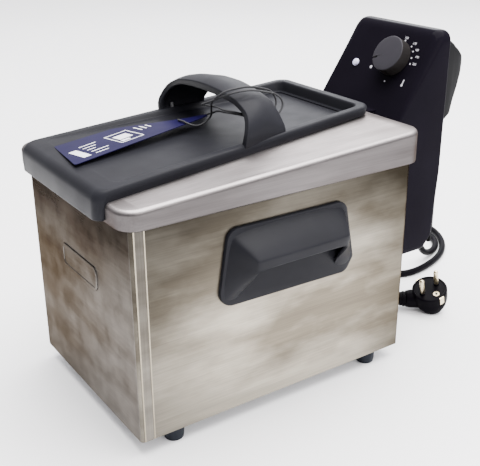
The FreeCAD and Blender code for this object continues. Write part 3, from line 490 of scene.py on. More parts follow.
# painted shade: the skirt's upright faces are darker, with a painted pool of light towards the sides'
# middle
RIM_STEEL = brushed_steel(
    "rim_steel", (0.4, 0.36, 0.355), (0.62, 0.57, 0.57), 0.38, (1, 0.02, 1), upright=0.36, painted_pool_edge=0.5
)
TANK_STEEL = brushed_steel("tank_steel", (0.6, 0.6, 0.6), (0.72, 0.72, 0.72), 0.22, (1, 1, 0.05))
PLAIN_STEEL = metal("plain_steel", (0.55, 0.55, 0.55), 0.35)
CHROME = metal("chrome", (0.7, 0.7, 0.71), 0.16)
LID_PLASTIC = plastic("lid_plastic", (0.0094, 0.0095, 0.012), 0.42, shine=0.06)
GRIP_PLASTIC = plastic("grip_plastic", (0.009, 0.0091, 0.0115), 0.44, shine=0.08)
HEAD_PLASTIC = plastic("head_plastic", (0.0048, 0.0039, 0.0066), 0.1, depth=0, shine=0.012)
COVER_PLASTIC = plastic("cover_plastic", (0.006, 0.006, 0.0066), 0.45, shine=0.04)
KNOB_PLASTIC = plastic("knob_plastic", (0.024, 0.0225, 0.0275), 0.5, shine=0.1)
# painted shade: a darker copy of the knob plastic for the knob's side
KNOB_SIDE_SHADED = plastic("knob_side", (0.012, 0.0105, 0.0105), 0.45, shine=0.08)
INNER_PLASTIC = plastic("inner_plastic", (0.5, 0.48, 0.42), 0.5)
FOOT_RUBBER = plastic("foot_rubber", (0.011, 0.013, 0.018), 0.5, shine=0.08)
CORD_RUBBER = plastic("cord_rubber", (0.002, 0.0016, 0.0027), 0.36, depth=0.05, shine=0.025)
BRASS = metal("brass", (0.72, 0.62, 0.42), 0.28)
LENS = lamp_lens()
PRINT = print_white()
CARD = plastic("card", (0.0055, 0.0038, 0.027), 0.3, grain=2500, depth=0.04, shine=0.03)
CARD_PRINT = plastic("card_print", (0.7, 0.7, 0.74), 0.45, grain=2500, depth=0.04)
ELASTIC = plastic("elastic", (0.008, 0.008, 0.01), 0.7)


def paint(piece, material):
    piece.data.materials.clear()
    piece.data.materials.append(material)
    return piece


# ---------------------------------------------------------------- casing


# kind, front edge, rear edge, how far it stands out, metal
FOLD_STRIPS = (
    ("fold", 3.4, 11.2, 0.3, STEEL_FOLD),
    ("bead_front", 2.6, 3.8, 0.75, STEEL_BEAD),
    ("bead_rear", 10.8, 12, 0.75, STEEL_BEAD),
)
FOOT_PROFILE = [(0, 1), (5, 1), (5.4, 0), (7.4, 0), (8, 0.6), (8.3, 3), (9, 13), (9, 14), (0, 14)]


def make_casing():
    half, depth = CASING_HALF, CASING_DEPTH
    outer = rectangle(-half, 0, half, depth)
    inner = rectangle(1 - half, 1, half - 1, depth - 1)
    rings = [
        level_ring(outer, CASING_CORNER, 0),
        level_ring(outer, CASING_CORNER, CASING_HEIGHT),
        level_ring(inner, CASING_CORNER - 1, CASING_HEIGHT),
        level_ring(inner, CASING_CORNER - 1, 0),
    ]
    casing = skin("casing", rings, "fryer", "outer_casing", looped=True)
    paint(casing, STEEL)
    # painted shade: the front and rear walls take the darker copy of the steel
    casing.data.materials.append(STEEL_FRONT_SHADED)
    for face in casing.data.polygons:
        if abs(face.normal.y) > 0.9:
            face.material_index = 1


def make_folds():
    """The front panel's edges are folded round on to the sides, each between two rolled beads."""
    for side, sign in (("left", -1), ("right", 1)):
        wall = sign * CASING_HALF
        for kind, near, far, proud, finish in FOLD_STRIPS:
            inside = wall - sign * 0.3
            outside = wall + sign * proud
            corners = [(inside, near), (inside, far), (outside, far), (outside, near)]
            verts = [at(*corner, z) for z in (0.5, SKIRT_BOTTOM + 4) for corner in corners]
            strip = block(f"{kind}_{side}", verts, "fryer", bevel=0.25)
            paint(strip, finish)


def make_feet():
    for name in ("foot_front_left", "foot_front_right", "foot_rear_left", "foot_rear_right"):
        low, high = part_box(name)
        centre = (low + high) / 2
        place = Matrix.Translation((centre.x, centre.y, low.z))
        foot = lathe(name + "_rubber", FOOT_PROFILE, place, "fryer", name)
        paint(foot, FOOT_RUBBER)


def make_badge():
    corners = rectangle(-33, 106, 33, 127)
    rings = [front_ring(corners, 6, 0.3), front_ring(corners, 6, -0.5)]
    for inset, rise in quarter(0.5, 3):
        moved = rectangle(inset - 33, 106 + inset, 33 - inset, 127 - inset)
        rings.append(front_ring(moved, 6 - inset, -0.5 - rise))
    step = rectangle(-30.6, 108.4, 30.6, 124.6)
    rings.append(front_ring(step, 3.8, -1))
    rings.append(front_ring(rectangle(-30.2, 108.8, 30.2, 124.2), 3.6, -0.45))
    paint(skin("badge", rings, "fryer", "front_badge"), STEEL_FRONT_SHADED)


# ---------------------------------------------------------------- rim


def rim_outline(inset):
    corners = rectangle(
        inset - RIM_HALF, RIM_FRONT + inset, RIM_HALF - inset, RIM_REAR - inset
    )
    return corners, max(RIM_CORNER - inset, 1)


def well_outline(inset):
    corners = tapered(63.3 - inset, 53.9 - inset, 12 + inset, 238 - inset)
    return corners, max(9 - inset, 3)


def make_rim():
    crease = 4
    rings = [
        level_ring(*rim_outline(1.6), SKIRT_BOTTOM + 0.5),
        level_ring(*rim_outline(0.8), SKIRT_BOTTOM),
        level_ring(*rim_outline(0.1), SKIRT_BOTTOM + 0.5),
        level_ring(*rim_outline(0), SKIRT_BOTTOM + 1.6),
    ]
    for inset, rise in quarter(crease, 6):
        rings.append(level_ring(*rim_outline(inset), lambda y, r=rise: rim_level(y) - crease + r))
    seat = tapered(SEAT_FRONT_HALF, SEAT_REAR_HALF, -3, SEAT_REAR)
    foot = rings[-1]
    top = level_ring(seat, 9, seat_level)
    for part in (0.25, 0.5, 0.75, 0.97):
        rings.append([a.lerp(b, part) for a, b in zip(foot, top)])
    inner = level_ring(tapered(SEAT_FRONT_HALF - 1, SEAT_REAR_HALF - 1, -2, SEAT_REAR - 1), 9, seat_level)
    rings.append(inner)
    rings.append(level_ring(*well_outline(-1), seat_level))
    rings.append(level_ring(*well_outline(0), lambda y: seat_level(y) - 1.2))
    rings.append(level_ring(*well_outline(0), 187.6))
    rings.append(level_ring(*well_outline(0.6), 187.2))
    rings.append(level_ring(*well_outline(5), 187.2))
    rings.append(level_ring(*well_outline(5), 186))
    rings.append(level_ring(*well_outline(-1.2), 186))
    rings.append(level_ring(*well_outline(-1.2), lambda y: seat_level(y) - 1.6))
    under = level_ring(seat, 9, lambda y: seat_level(y) - 1.6)
    low = level_ring(*rim_outline(crease + 1), lambda y: rim_level(y) - 1.4)
    rings.append(under)
    rings.append([a.lerp(b, 0.5) for a, b in zip(under, low)])
    rings.append(low)
    rings.append(level_ring(*rim_outline(1.6), lambda y: rim_level(y) - crease))
    rim = skin("rim", rings, "fryer", "top_rim", looped=True, sharp=50)
    slot = [at(x, y, 193.8) for x, y in rectangle(-24.3, 216, 24.3, 300)]
    slot += [at(x, y, 240) for x, y in rectangle(-24.3, 216, 24.3, 300)]
    cut_away(rim, block("slot_tool", slot, "fryer"))
    paint(rim, RIM_STEEL)


# ---------------------------------------------------------------- lid


def lid_outline(side, front):
    """The lid seen from above, drawn in at the sides and at the front by different amounts."""
    corners = tapered(
        SEAT_FRONT_HALF + 1.6 - side, SEAT_REAR_HALF - side, LIP_FRONT + front, SEAT_REAR - side
    )
    return corners, [9, 9, 11, 11]


def tray_outline(inset):
    return tapered(66.6 - inset, 57.2 - inset, 3.2 + inset, 242.8 - inset)


def make_lid():
    def nose(y):
        return 2.6 + 5.6 * (1 - blend(-12, 2, y))

    def sunk(share):
        return lambda y: lid_top(y) - share * max(0.1, lid_top(y) - tray_floor(y))

    def underside(y):
        return lid_bottom(y) - (lid_bottom(y) - LIP_BOTTOM) * (1 - blend(-8, -3, y))

    def pan(y):
        return tray_floor(y) - 2.4

    rings = [
        level_ring(*well_outline(4), pan),
        level_ring(*well_outline(3.8), lambda y: lid_bottom(y) - 5.6),
        level_ring(*well_outline(3.4), lambda y: lid_bottom(y) - 6),
        level_ring(*well_outline(1.6), lambda y: lid_bottom(y) - 6),
        level_ring(*well_outline(1.2), lambda y: lid_bottom(y) - 5.6),
        level_ring(*well_outline(1.2), lid_bottom),
        level_ring(tapered(68, 60, -8.4, 246), 6, lid_bottom),
        level_ring(tapered(69, 61, -9.6, 247.5), 6, underside),
        level_ring(*lid_outline(2.2, 1.6), underside),
        level_ring(*lid_outline(1.2, 0.3), lambda y: underside(y) + 0.4),
        level_ring(*lid_outline(0.8, 0), lambda y: underside(y) + 1.2),
    ]

    for inset, rise in quarter(1, 7):
        def edge(y, share=rise):
            return lid_top(y) - nose(y) * (1 - share)

        rings.append(level_ring(*lid_outline(inset * 2.6, inset * 8.2), edge))

    rings.append(level_ring(tray_outline(0), 8, lid_top))
    for inset, rise in quarter(1.8, 4)[1:]:
        share = 0.16 * (1 - math.sqrt(max(0, 1 - (inset / 1.8) ** 2)))
        rings.append(level_ring(tray_outline(inset), 7.5, sunk(share)))
    for inset, share in ((2.6, 0.75), (3.0, 0.88), (4, 0.97), (6, 1)):
        rings.append(level_ring(tray_outline(inset), 7, sunk(share)))
    lid = skin("lid", rings, "lid", "lid_shell", sharp=60)
    paint(lid, LID_PLASTIC)


def curve_through(points, count):
    """Evenly spread points on a Catmull-Rom curve through the given ones."""
    spots = [Vector(p) for p in points]
    ends = [spots[0] * 2 - spots[1], *spots, spots[-1] * 2 - spots[-2]]
    fine = []
    for i in range(1, len(ends) - 2):
        a, b, c, d = ends[i - 1:i + 3]
        for step in range(24):
            t = step / 24
            fine.append(
                0.5 * ((2 * b) + (c - a) * t + (2 * a - 5 * b + 4 * c - d) * t * t
                       + (3 * b - a - 3 * c + d) * t ** 3)
            )
    fine.append(spots[-1])
    lengths = [0.0]
    for p, q in zip(fine, fine[1:]):
        lengths.append(lengths[-1] + (q - p).length)
    made = []
    j = 0
    for i in range(count):
        target = lengths[-1] * i / (count - 1)
        while j < len(lengths) - 2 and lengths[j + 1] < target:
            j += 1
        gap = lengths[j + 1] - lengths[j] or 1
        made.append(fine[j].lerp(fine[j + 1], (target - lengths[j]) / gap))
    return made


# half outlines of the strap's edges and crown seen from the front, from foot to top
ARCH_FRONT = [
    (68.6, 210.5), (70, 214.5), (70.8, 220), (69.3, 227), (63, 236), (52, 241.7), (43, 244.6),
    (22, 247.6), (0, 248.6),
]
ARCH_REAR = [
    (64.8, 215), (64.6, 218.2), (63.5, 222), (60, 225.8), (55, 230.6), (49, 235.2), (42, 239.2),
    (14, 245), (0, 246),
]
ARCH_CROWN = [
    (66.4, 212), (67.3, 216.3), (67.9, 221), (67, 228), (62, 236), (54.5, 242), (40, 247.6),
    (15, 251.5), (0, 252.2),
]
ARCH_STEPS = 41
ARCH_SHARES = [0, 0.04, 0.12, 0.3, 0.5, 0.7, 0.88, 0.96, 1]
ARCH_CENTRE = Vector((0, 210, 0))
ARCH_BACK = 158
ARCH_MIDDLE = 136.5
ARCH_EDGE = 6
ARCH_THICK = 3.2


def whole_arch(half):
    """The full curve of a half outline, its left side mirrored from its right."""
    left = [(-x, z) for x, z in half[:-1]]
    return curve_through([(*p, 0) for p in half + left[::-1]], ARCH_STEPS)


def make_arch():
    """The handle is a hollow strap whose edges follow three curves: front, crown and rear."""
    front, crown, rear = (whole_arch(half) for half in (ARCH_FRONT, ARCH_CROWN, ARCH_REAR))
    rows = []
    for i in range(ARCH_STEPS):
        towards = (ARCH_CENTRE - crown[i]).normalized()
        near = 115 + 7 * blend(216, 242, front[i].y)
        middle = crown[i] - (front[i] + rear[i]) / 2
        outside = []
        for share in ARCH_SHARES:
            flat = front[i].lerp(rear[i], share)
            bowed = 4 * share * (1 - share)
            outside.append((flat + middle * bowed, near + (ARCH_BACK - near) * share))

        def inside(index, depth, shift):
            spot, y = outside[index]
            return spot + towards * depth, y + shift

        web = ARCH_THICK + 0.6
        section = [
            *outside,
            inside(-1, ARCH_EDGE, -0.3),
            inside(-1, ARCH_EDGE, -ARCH_THICK),
            inside(-2, web, -ARCH_THICK - 0.5),
        ]
        for spot, y in outside[-3:1:-1]:
            section.append((spot + towards * ARCH_THICK, ARCH_MIDDLE + (y - ARCH_MIDDLE) * 0.86))
        section += [
            inside(1, web, ARCH_THICK + 0.5),
            inside(0, ARCH_EDGE, ARCH_THICK),
            inside(0, ARCH_EDGE, 0.3),
        ]
        rows.append([at(spot.x, y, spot.y) for spot, y in section])
    arch = skin("arch", rows, "lid", "lid_handle", sharp=40)
    soften(arch, 1.1, 3, 40)
    paint(arch, LID_PLASTIC)


# ---------------------------------------------------------------- swing tag

TAG = [(-42, 4), (16.4, -3.3), (-5, 127), (-10, 131), (-15, 114), (-45, 58)]
TAG_LOOP = [
    (-13.7, 103.8, 218.1), (-5, 103, 219.4), (2, 105, 217.6), (4.5, 111, 215.6), (4.5, 118, 217),
    (7, 124, 223), (13, 120, 231.6), (24, 113.4, 239.4), (33, 112.4, 245.6), (38, 117, 250.6),
    (43, 127.5, 253), (42.5, 139, 252.4), (40, 151, 248.8), (38.5, 162.5, 245), (40, 167, 235),
    (43, 159, 227), (44.5, 147, 227), (44, 136, 229.5), (42, 126, 233), (36, 117.5, 235),
    (28.5, 117.5, 235.2), (21, 120, 234.2), (12.5, 119, 233.4), (13, 110.5, 236), (21.5, 109.5, 238.8),
    (29.5, 112, 242.4), (38, 117, 247.2), (46, 125, 251), (47.5, 136, 251), (47, 148, 248),
    (47, 162.5, 243.8), (49.5, 167, 235), (51, 158, 226.5), (50, 147, 226), (47.5, 136, 228.5),
    (42, 126.5, 231.6), (33, 121, 232), (23, 121, 231), (13, 124, 228), (3, 126.5, 223.8), (-7, 128, 220.6),
]


TAG_ALONG = Vector((-0.16, 0.987))
TAG_ACROSS = Vector((0.987, 0.16))
# name, near left corner, width, depth
TAG_PRINT = (
    ("tag_frame_near", (-27, 41), 26, 0.9),
    ("tag_frame_far", (-31.3, 62), 26, 0.9),
    ("tag_frame_left", (-27, 41), 0.9, 22),
    ("tag_frame_right", (-2.2, 45), 0.9, 22),
    ("tag_block", (-21, 46), 11, 13),
    ("tag_block_low", (-8, 47), 3.5, 8),
    ("tag_strip", (-15, 5), 22, 7),
)


def tag_level(x, y):
    """The swing tag lies tilted: its far edge on the lid, its tip held up by the elastic."""
    return 206.4 + 0.0489 * x + 0.1024 * y


def print_block(name, start, wide, deep, lift=0.75):
    """A printed block whose sides run along and across the card."""
    near = Vector(start)
    far = near + TAG_ACROSS * wide
    corners = [near, far, far + TAG_ALONG * deep, near + TAG_ALONG * deep]
    loops = [[at(x, y, tag_level(x, y) + up) for x, y in corners] for up in (0.55, lift)]
    paint(skin(name, loops, "lid"), CARD_PRINT)


def make_tag():
    outline = rounded(TAG, [2, 2, 2, 2, 6, 8], 4)
    rings = [[at(x, y, tag_level(x, y) + lift) for x, y in outline] for lift in (0, 0.6)]
    paint(skin("tag", rings, "lid", "hang_tag"), CARD)
    for name, start, wide, deep in TAG_PRINT:
        print_block(name, start, wide, deep)
    for i in range(5):
        print_block(f"tag_line_{i}", (-21 + i * 6, 16 + i), 1.1, 16 - i % 3 * 4, 0.7)
    for i in range(3):
        print_block(f"tag_row_{i}", (-31 + i, 70 + i * 5), 12 - i * 2, 1.2, 0.7)


def make_elastic():
    elastic = tube_along("tag_elastic", TAG_LOOP, 0.0008, 12, "lid", "tag_loop")
    paint(elastic, ELASTIC)


# ---------------------------------------------------------------- side grips


GRIP_PLATE = [(70.5, 97.5), (199, 95.5), (206.5, 108), (196.5, 160.5), (81, 161.5)]
GRIP_PLATE_RADII = [12, 8, 5, 10, 10]
# the hood's foot on the plate, and half of its free edge as (y, z, distance from the casing)
GRIP_BASE = [
    (88, 102), (82, 101.2), (77, 102.5), (75, 107), (75.6, 116), (77.3, 126), (79.3, 137),
    (82.6, 153.5), (89, 159.6), (188.5, 159.2), (195.5, 153.5), (199.7, 137), (201.8, 126),
    (203.5, 116), (204.5, 108.5), (202.5, 103.5), (198, 101.2), (192, 102),
]
GRIP_CHEEK = [
    (92.3, 107, 3.6), (93, 110, 5.6), (93.8, 113.5, 8.6), (94.3, 118.5, 13), (94.3, 124.5, 18.4),
    (94.6, 129.4, 21.8), (96, 132.4, 24), (94.6, 138, 24.5), (96, 139.8, 24.5),
]
GRIP_SHARES = [0, 0.1, 0.3, 0.5, 0.7, 0.9, 1]
GRIP_ENDS_SUM = 278
GRIP_LIP = 6
GRIP_FOOT = 2.6


def make_grip_plate(side, sign):
    outline = rounded(GRIP_PLATE, GRIP_PLATE_RADII, 8)
    middle = Vector((140, 129))
    rings = []
    for rise, inset in ((0, 0), (2.2, 0), (2.9, 0.3), (3.2, 1)):
        ring = []
        for y, z in outline:
            away = Vector((y, z)) - middle
            spot = middle + away * (1 - inset / away.length)
            ring.append(at(sign * (CASING_HALF + rise), spot.x, spot.y))
        rings.append(ring)
    plate = skin(f"grip_plate_{side}", rings, "fryer", f"grip_backing_{side}")
    paint(plate, GRIP_PLASTIC)


def make_grip_hood(side, sign):
    """A bowed shell from the foot outline to the free edge, closed in front above its lip."""
    mirrored = [(GRIP_ENDS_SUM - y, z, out) for y, z, out in reversed(GRIP_CHEEK)]
    width = len(GRIP_SHARES)
    verts = []
    for (foot_y, foot_z), (edge_y, edge_z, out) in zip(GRIP_BASE, GRIP_CHEEK + mirrored):
        for share in GRIP_SHARES:
            bow = 0.065 * out * math.sin(math.pi * share)
            x = CASING_HALF + GRIP_FOOT + (out - GRIP_FOOT) * share + bow
            y = foot_y + (edge_y - foot_y) * share
            z = foot_z + (edge_z - foot_z) * share
            verts.append(at(sign * x, y, z))
    faces = []
    for row in range(len(GRIP_BASE) - 1):
        for column in range(width - 1):
            first = row * width + column
            faces.append((first, first + 1, first + width + 1, first + width))
    ends = [row * width + width - 1 for row in range(len(GRIP_BASE))]
    for i in range(GRIP_LIP, len(GRIP_CHEEK) - 1):
        faces.append((ends[i + 1], ends[i], ends[-1 - i], ends[-2 - i]))
    hood = finish_mesh(f"grip_hood_{side}", verts, faces, "fryer", f"side_grip_{side}", sharp=180)
    subdivide = hood.modifiers.new("smooth", "SUBSURF")
    subdivide.levels = 2
    subdivide.render_levels = 3
    shell = hood.modifiers.new("shell", "SOLIDIFY")
    shell.thickness = 0.003
    shell.offset = -1
    paint(hood, GRIP_PLASTIC)


# ---------------------------------------------------------------- control unit


def head_front(z):
    """Where the front of the control unit is at a height: upright, then sloping back."""
    climb = max(0, z - PANEL_LOW) / (HEAD_HIGH - PANEL_LOW)
    return HEAD_FRONT + PANEL_RUN * climb


def head_rear(z):
    if z < 80:
        return 333 + (z - HEAD_LOW) * 11 / 13
    return 344 + 4 * blend(80, 146, z)


def make_head():
    rings = []
    levels = [67, 67.6, 68.6, 71, 80, 105, 146, 180, 186, 187.5, 189, 200, 220, 240, 255, 263]
    levels += [265, 267, 269, 271, 273, 274.5, 275.6, 276.4, 276.8, 277]
    for z in levels:
        pinch = max(0, 2 - (z - HEAD_LOW)) * 0.8
        turn = 2.2 + 8 * blend(190, 272, z)
        climb = min(1, max(0, (z - 267) / 10))
        inset = 9 * (1 - math.sqrt(1 - climb ** 2))
        nod = 4 * (1 - math.sqrt(1 - min(1, max(0, (z - 271) / 6)) ** 2))
        half = HEAD_HALF - pinch - inset
        corners = rectangle(-half, head_front(z) + pinch + nod, half, head_rear(z) - nod * 0.7)
        room = (corners[2][1] - corners[0][1]) * 0.6
        rings.append(level_ring(corners, [min(turn, room), min(turn, room), 2, 2], z, 10))
    head = skin("head", rings, "fryer", "head_shell", sharp=40)
    paint(head, HEAD_PLASTIC)


# depth, bottom, top and half width of the bulge over the thermostat
BULGE_SECTIONS = [
    (347.5, 190, 270, 53.5), (349, 190.6, 269.4, 53.4), (353, 193.2, 267, 53.2),
    (358, 196.4, 263.6, 52.8), (360.8, 207.5, 261, 52.5), (365.7, 221, 257.4, 52),
    (369.4, 232.6, 253.8, 51.2), (371.2, 238.6, 250.6, 50), (371.9, 242, 247.4, 48),
]


def make_rear_cover():
    rings = []
    for y, low, high, half in BULGE_SECTIONS:
        rings.append(front_ring(rectangle(-half, low, half, high), min(4, (high - low) / 2.2), y))
    bulge = skin("rear_bulge", rings, "fryer", "head_rear_cover", sharp=50)
    paint(bulge, COVER_PLASTIC)
    outline = rectangle(-54.1, 69.6, 54.1, 274)
    plate = [front_ring(outline, 3, y) for y in (345.5, 347.6)]
    plate.append(front_ring(rectangle(-53.7, 70, 53.7, 273.6), 3, 348))
    cover = skin("rear_plate", plate, "fryer")
    paint(cover, COVER_PLASTIC)
    for i in range(9):
        z = 120 + i * 6
        rib = [at(x, y, level) for level in (z, z + 2.4) for x, y in rectangle(-34, 347.4, 34, 349.2)]
        paint(block(f"vent_rib_{i}", rib, "fryer", bevel=0.6), COVER_PLASTIC)


def panel_matrix(x, up):
    """A place on the sloping panel, its Z along the panel's normal and its Y up the panel."""
    length = math.hypot(PANEL_RUN, HEAD_HIGH - PANEL_LOW)
    along = Vector((0, PANEL_RUN, HEAD_HIGH - PANEL_LOW)) / length
    foot = Vector((0, HEAD_FRONT, PANEL_LOW)) + along * 22
    spot = foot + along * up + Vector((x, 0, 0))
    normal = Vector((1, 0, 0)).cross(along)
    return axis_matrix(at(*spot), normal)


def on_panel(name, x, up, outline, low, high, body="fryer", stands_for=()):
    place = panel_matrix(x, up)
    rings = [[place @ Vector((px / 1000, py / 1000, h / 1000)) for px, py in outline] for h in (low, high)]
    return skin(name, rings, body, stands_for)


def disc(radius, steps=24):
    return [
        (radius * math.cos(2 * math.pi * i / steps), radius * math.sin(2 * math.pi * i / steps))
        for i in range(steps)
    ]


# places on the panel, as (x, distance up it)
KNOB_AT = (18.5, 50.5)
LENS_AT = (-28.5, 38.5)
DIAL_DOTS = [(20.1, 68.9), (30.4, 64.7), (34.9, 60.5), (36.7, 54.4), (38.3, 48.8), (18.1, 27.9)]
DIAL_NUMBERS = [
    ("150", 6.4, 69.7), ("160", 20.1, 71.6), ("170", 32.5, 67.8), ("180", 38.6, 62.5),
    ("190", 42.4, 56.3), ("200", 43.2, 49.4),
]


def make_knob():
    knob = panel_matrix(*KNOB_AT)
    profile = [(0, 0.5), (16.6, 0.5), (17.2, 1), (16.9, 11)]
    profile += [(16.9 - inset, 12 + rise) for inset, rise in quarter(0.9, 4)]
    profile += [(12, 13), (0, 13.1)]
    dial = lathe("dial", profile, knob, "knob", "control_knob", steps=120, sharp=50)
    groove = on_panel("groove_tool", *KNOB_AT, rectangle(-22, -0.9, -11.5, 0.9), 6, 20, "knob")
    turned = Matrix.Rotation(math.radians(27), 4, "Z")
    groove.data.transform(knob @ turned @ knob.inverted())
    cut_away(dial, groove)
    paint(dial, KNOB_PLASTIC)
    # painted shade: the knob's side faces take the darker copy of its plastic
    dial.data.materials.append(KNOB_SIDE_SHADED)
    outward = (knob.to_3x3() @ Vector((0, 0, 1))).normalized()
    for face in dial.data.polygons:
        if abs(face.normal.dot(outward)) < 0.3:
            face.material_index = 1


def make_lens():
    profile = [(0, -2.4), (3.7, -2.4), (3.7, 0.5), (3.5, 1.1), (2.9, 1.6), (1.8, 2), (0, 2.1)]
    lens = lathe("lens", profile, panel_matrix(*LENS_AT), "fryer", "indicator_lens", sharp=60)
    paint(lens, LENS)


def make_panel_print():
    for i, (x, up) in enumerate(DIAL_DOTS):
        paint(on_panel(f"dot_{i}", x, up, disc(0.75), -0.2, 0.08), PRINT)
    paint(on_panel("off_mark", -6.7, 37.8, disc(1.5), -0.2, 0.08), PRINT)
    for text, x, up in DIAL_NUMBERS:
        write_number(text, x, up, 3.1)
    stem = rounded(rectangle(-0.55, -2.4, 0.55, 2.7), 0.5, 4)
    paint(on_panel("heat_mark_stem", 40.2, 31, stem, -0.2, 0.08), PRINT)
    paint(on_panel("heat_mark_bulb", 40.2, 28.2, disc(1.15), -0.2, 0.09), PRINT)


def write_number(text, x, up, height):
    """A number on the dial, as thin raised print."""
    curve = bpy.data.curves.new("number_" + text, "FONT")
    curve.body = text
    curve.size = height / 1000
    curve.align_x = "CENTER"
    curve.align_y = "CENTER"
    curve.extrude = 0.00008
    label = bpy.data.objects.new("number_" + text, curve)
    bpy.context.scene.collection.objects.link(label)
    label.matrix_world = panel_matrix(x, up)
    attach(label, "fryer")
    paint(label, PRINT)


# ---------------------------------------------------------------- cord and plug

CORD = [
    (-22, 358, 77.6), (-22, 382, 77), (-24, 402, 62), (-29, 414, 38), (-36, 427, 14), (-44, 446, -5),
    (-52, 470, -10.2), (-68, 491, -10.2), (-95, 503, -10.2), (-125, 492, -10.2), (-145, 460, -10.2),
    (-146, 420, -10.2), (-124, 384, -10.2), (-86, 362, -10.2), (-46, 368, -10.2), (-22, 396, -10.2),
    (-26, 435, -10.2), (-42, 475, -10.2), (-72, 505, -10.2), (-110, 520, -10.2), (-150, 508, -10.2),
    (-172, 474, -10.2), (-176, 430, -10.2), (-164, 385, -10.2), (-135, 345, -10.2),
    (-95, 317, -10.2), (-50, 305, -10.2), (-14, 304, -9), (9, 314, -6), (20, 330, -3),
]


def make_gland():
    profile = [(3.7, -4), (9.5, -4), (9.5, -2.5), (7.5, -2.5), (7.5, 1)]
    for i in range(6):
        base = 2 + i * 3.4
        radius = 7 - i * 0.32
        profile += [(radius, base), (radius, base + 2.2)]
        profile += [(radius - 1, base + 2.4), (radius - 1, base + 3.2)]
    profile += [(5.2, 22.6), (4.8, 23), (3.72, 23)]
    place = axis_matrix(at(-22, HEAD_REAR, 78), (0, 1, 0))
    gland = lathe("gland", profile, place, "fryer", "cord_gland", sharp=40)
    return paint(gland, CORD_RUBBER)


PLUG_FACE = (46, 360.6, 11)
PLUG_NORMAL = Vector((0.17, -0.34, 0.925)).normalized()
PLUG_ROW = Vector((0.06, 0.92, 0.33))
PLUG_LEAN = Vector((0.86, -0.5, 0))
# height below the face, radius, shift along the lean
PLUG_SECTIONS = [
    (-22.2, 5, 9), (-21.6, 8, 8.6), (-19.6, 11.4, 7.2), (-15.5, 15.4, 4.2), (-12, 17.4, 1.6),
    (-10, 17.9, 0.3), (-9, 18, 0), (-1.2, 18, 0), (-0.4, 17.6, 0), (0, 16.8, 0), (0, 15.8, 0),
    (-0.7, 15.4, 0),
]
NECK_START = (43.5, 363, -2.2)
PIN_OFFSET = 9.5
PIN_PROFILE = [(2.4, -2), (2.4, 16.6), (2.2, 17.8), (1.6, 18.7), (0.8, 19), (0, 19)]
SLEEVE_PROFILE = [(2.9, -1), (2.9, 0.4), (2.6, 0.8), (2.3, 0.8)]
SOCKET_PROFILE = [(1.4, -2), (1.4, -0.2), (3, -0.2), (3.2, -0.5), (3.2, -1)]


def make_plug_body(place):
    rings = []
    for height, radius, shift in PLUG_SECTIONS:
        spots = [Vector((x, y, height)) + PLUG_LEAN * shift for x, y in disc(radius, 64)]
        rings.append([place @ (spot / 1000) for spot in spots])
    return paint(skin("plug", rings, "fryer", "plug_body", sharp=40), CORD_RUBBER)


def make_plug_neck():
    """The ribbed sleeve between the cord's end and the plug."""
    end = at(*CORD[-1])
    run = at(*NECK_START) - end
    length = run.length * 1000
    profile = [(3.72, 0.2), (4.8, 0.2)]
    for i in range(5):
        base = 1.2 + i * 3
        radius = 5.0 + i * 0.75
        profile += [(radius, base), (radius, base + 2.2)]
        profile += [(radius - 0.7, base + 2.4), (radius - 0.7, base + 2.8)]
    profile += [(8.6, 17), (9.4, 21), (9.8, length - 8), (9, length)]
    neck = lathe("plug_neck", profile, axis_matrix(end, run), "fryer", sharp=40)
    return paint(neck, CORD_RUBBER)


def make_plug():
    across = PLUG_ROW.cross(PLUG_NORMAL).normalized()
    place = axis_matrix(at(*PLUG_FACE), PLUG_NORMAL, across)
    made = [make_plug_body(place), make_plug_neck()]
    for i, offset in enumerate((-PIN_OFFSET, PIN_OFFSET)):
        pin_place = place @ Matrix.Translation(Vector((0, offset / 1000, 0)))
        sleeve = lathe(f"pin_sleeve_{i}", SLEEVE_PROFILE, pin_place, "fryer")
        made.append(paint(sleeve, CORD_RUBBER))
        nodes = "plug_pins" if i == 0 else ()
        pin = lathe(f"pin_{i}", PIN_PROFILE, pin_place, "fryer", nodes, steps=32, sharp=60)
        made.append(paint(pin, BRASS))
    socket_place = place @ Matrix.Translation((0.010, 0, 0))
    socket = lathe("earth_socket", SOCKET_PROFILE, socket_place, "fryer")
    made.append(paint(socket, BRASS))
    return made


def make_cord():
    cord = tube_along("mains_cord", CORD, 0.0037, 16, "fryer", "power_cord")
    paint(cord, CORD_RUBBER)


# ---------------------------------------------------------------- what stays as the CAD made it

KEPT = {
    "base_plate": PLAIN_STEEL, "tank_frame": PLAIN_STEEL, "oil_tank": TANK_STEEL,
    "foot_screws": PLAIN_STEEL, "grip_screws": PLAIN_STEEL, "head_screws": PLAIN_STEEL,
    "lid_handle_screws": PLAIN_STEEL, "head_rail": PLAIN_STEEL, "head_arm": HEAD_PLASTIC,
    "heating_element": TANK_STEEL, "element_clamp": PLAIN_STEEL, "sensor_bulb": TANK_STEEL,
    "sensor_capillary": BRASS, "thermostat_body": INNER_PLASTIC, "thermostat_shaft": PLAIN_STEEL,
    "indicator_lamp": INNER_PLASTIC, "terminal_block": INNER_PLASTIC, "safety_switch": COVER_PLASTIC,
    "thermal_cutout": INNER_PLASTIC, "reset_button": COVER_PLASTIC, "plug_earth_clips": BRASS,
    "basket_shell": CHROME, "basket_rim": CHROME, "basket_handle_pivot": CHROME,
    "basket_handle": CHROME, "basket_grip": GRIP_PLASTIC,
}


def paint_kept():
    for name, material in KEPT.items():
        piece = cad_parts[name]
        piece.data.materials.clear()
        piece.data.materials.append(material)


# ---------------------------------------------------------------- studio


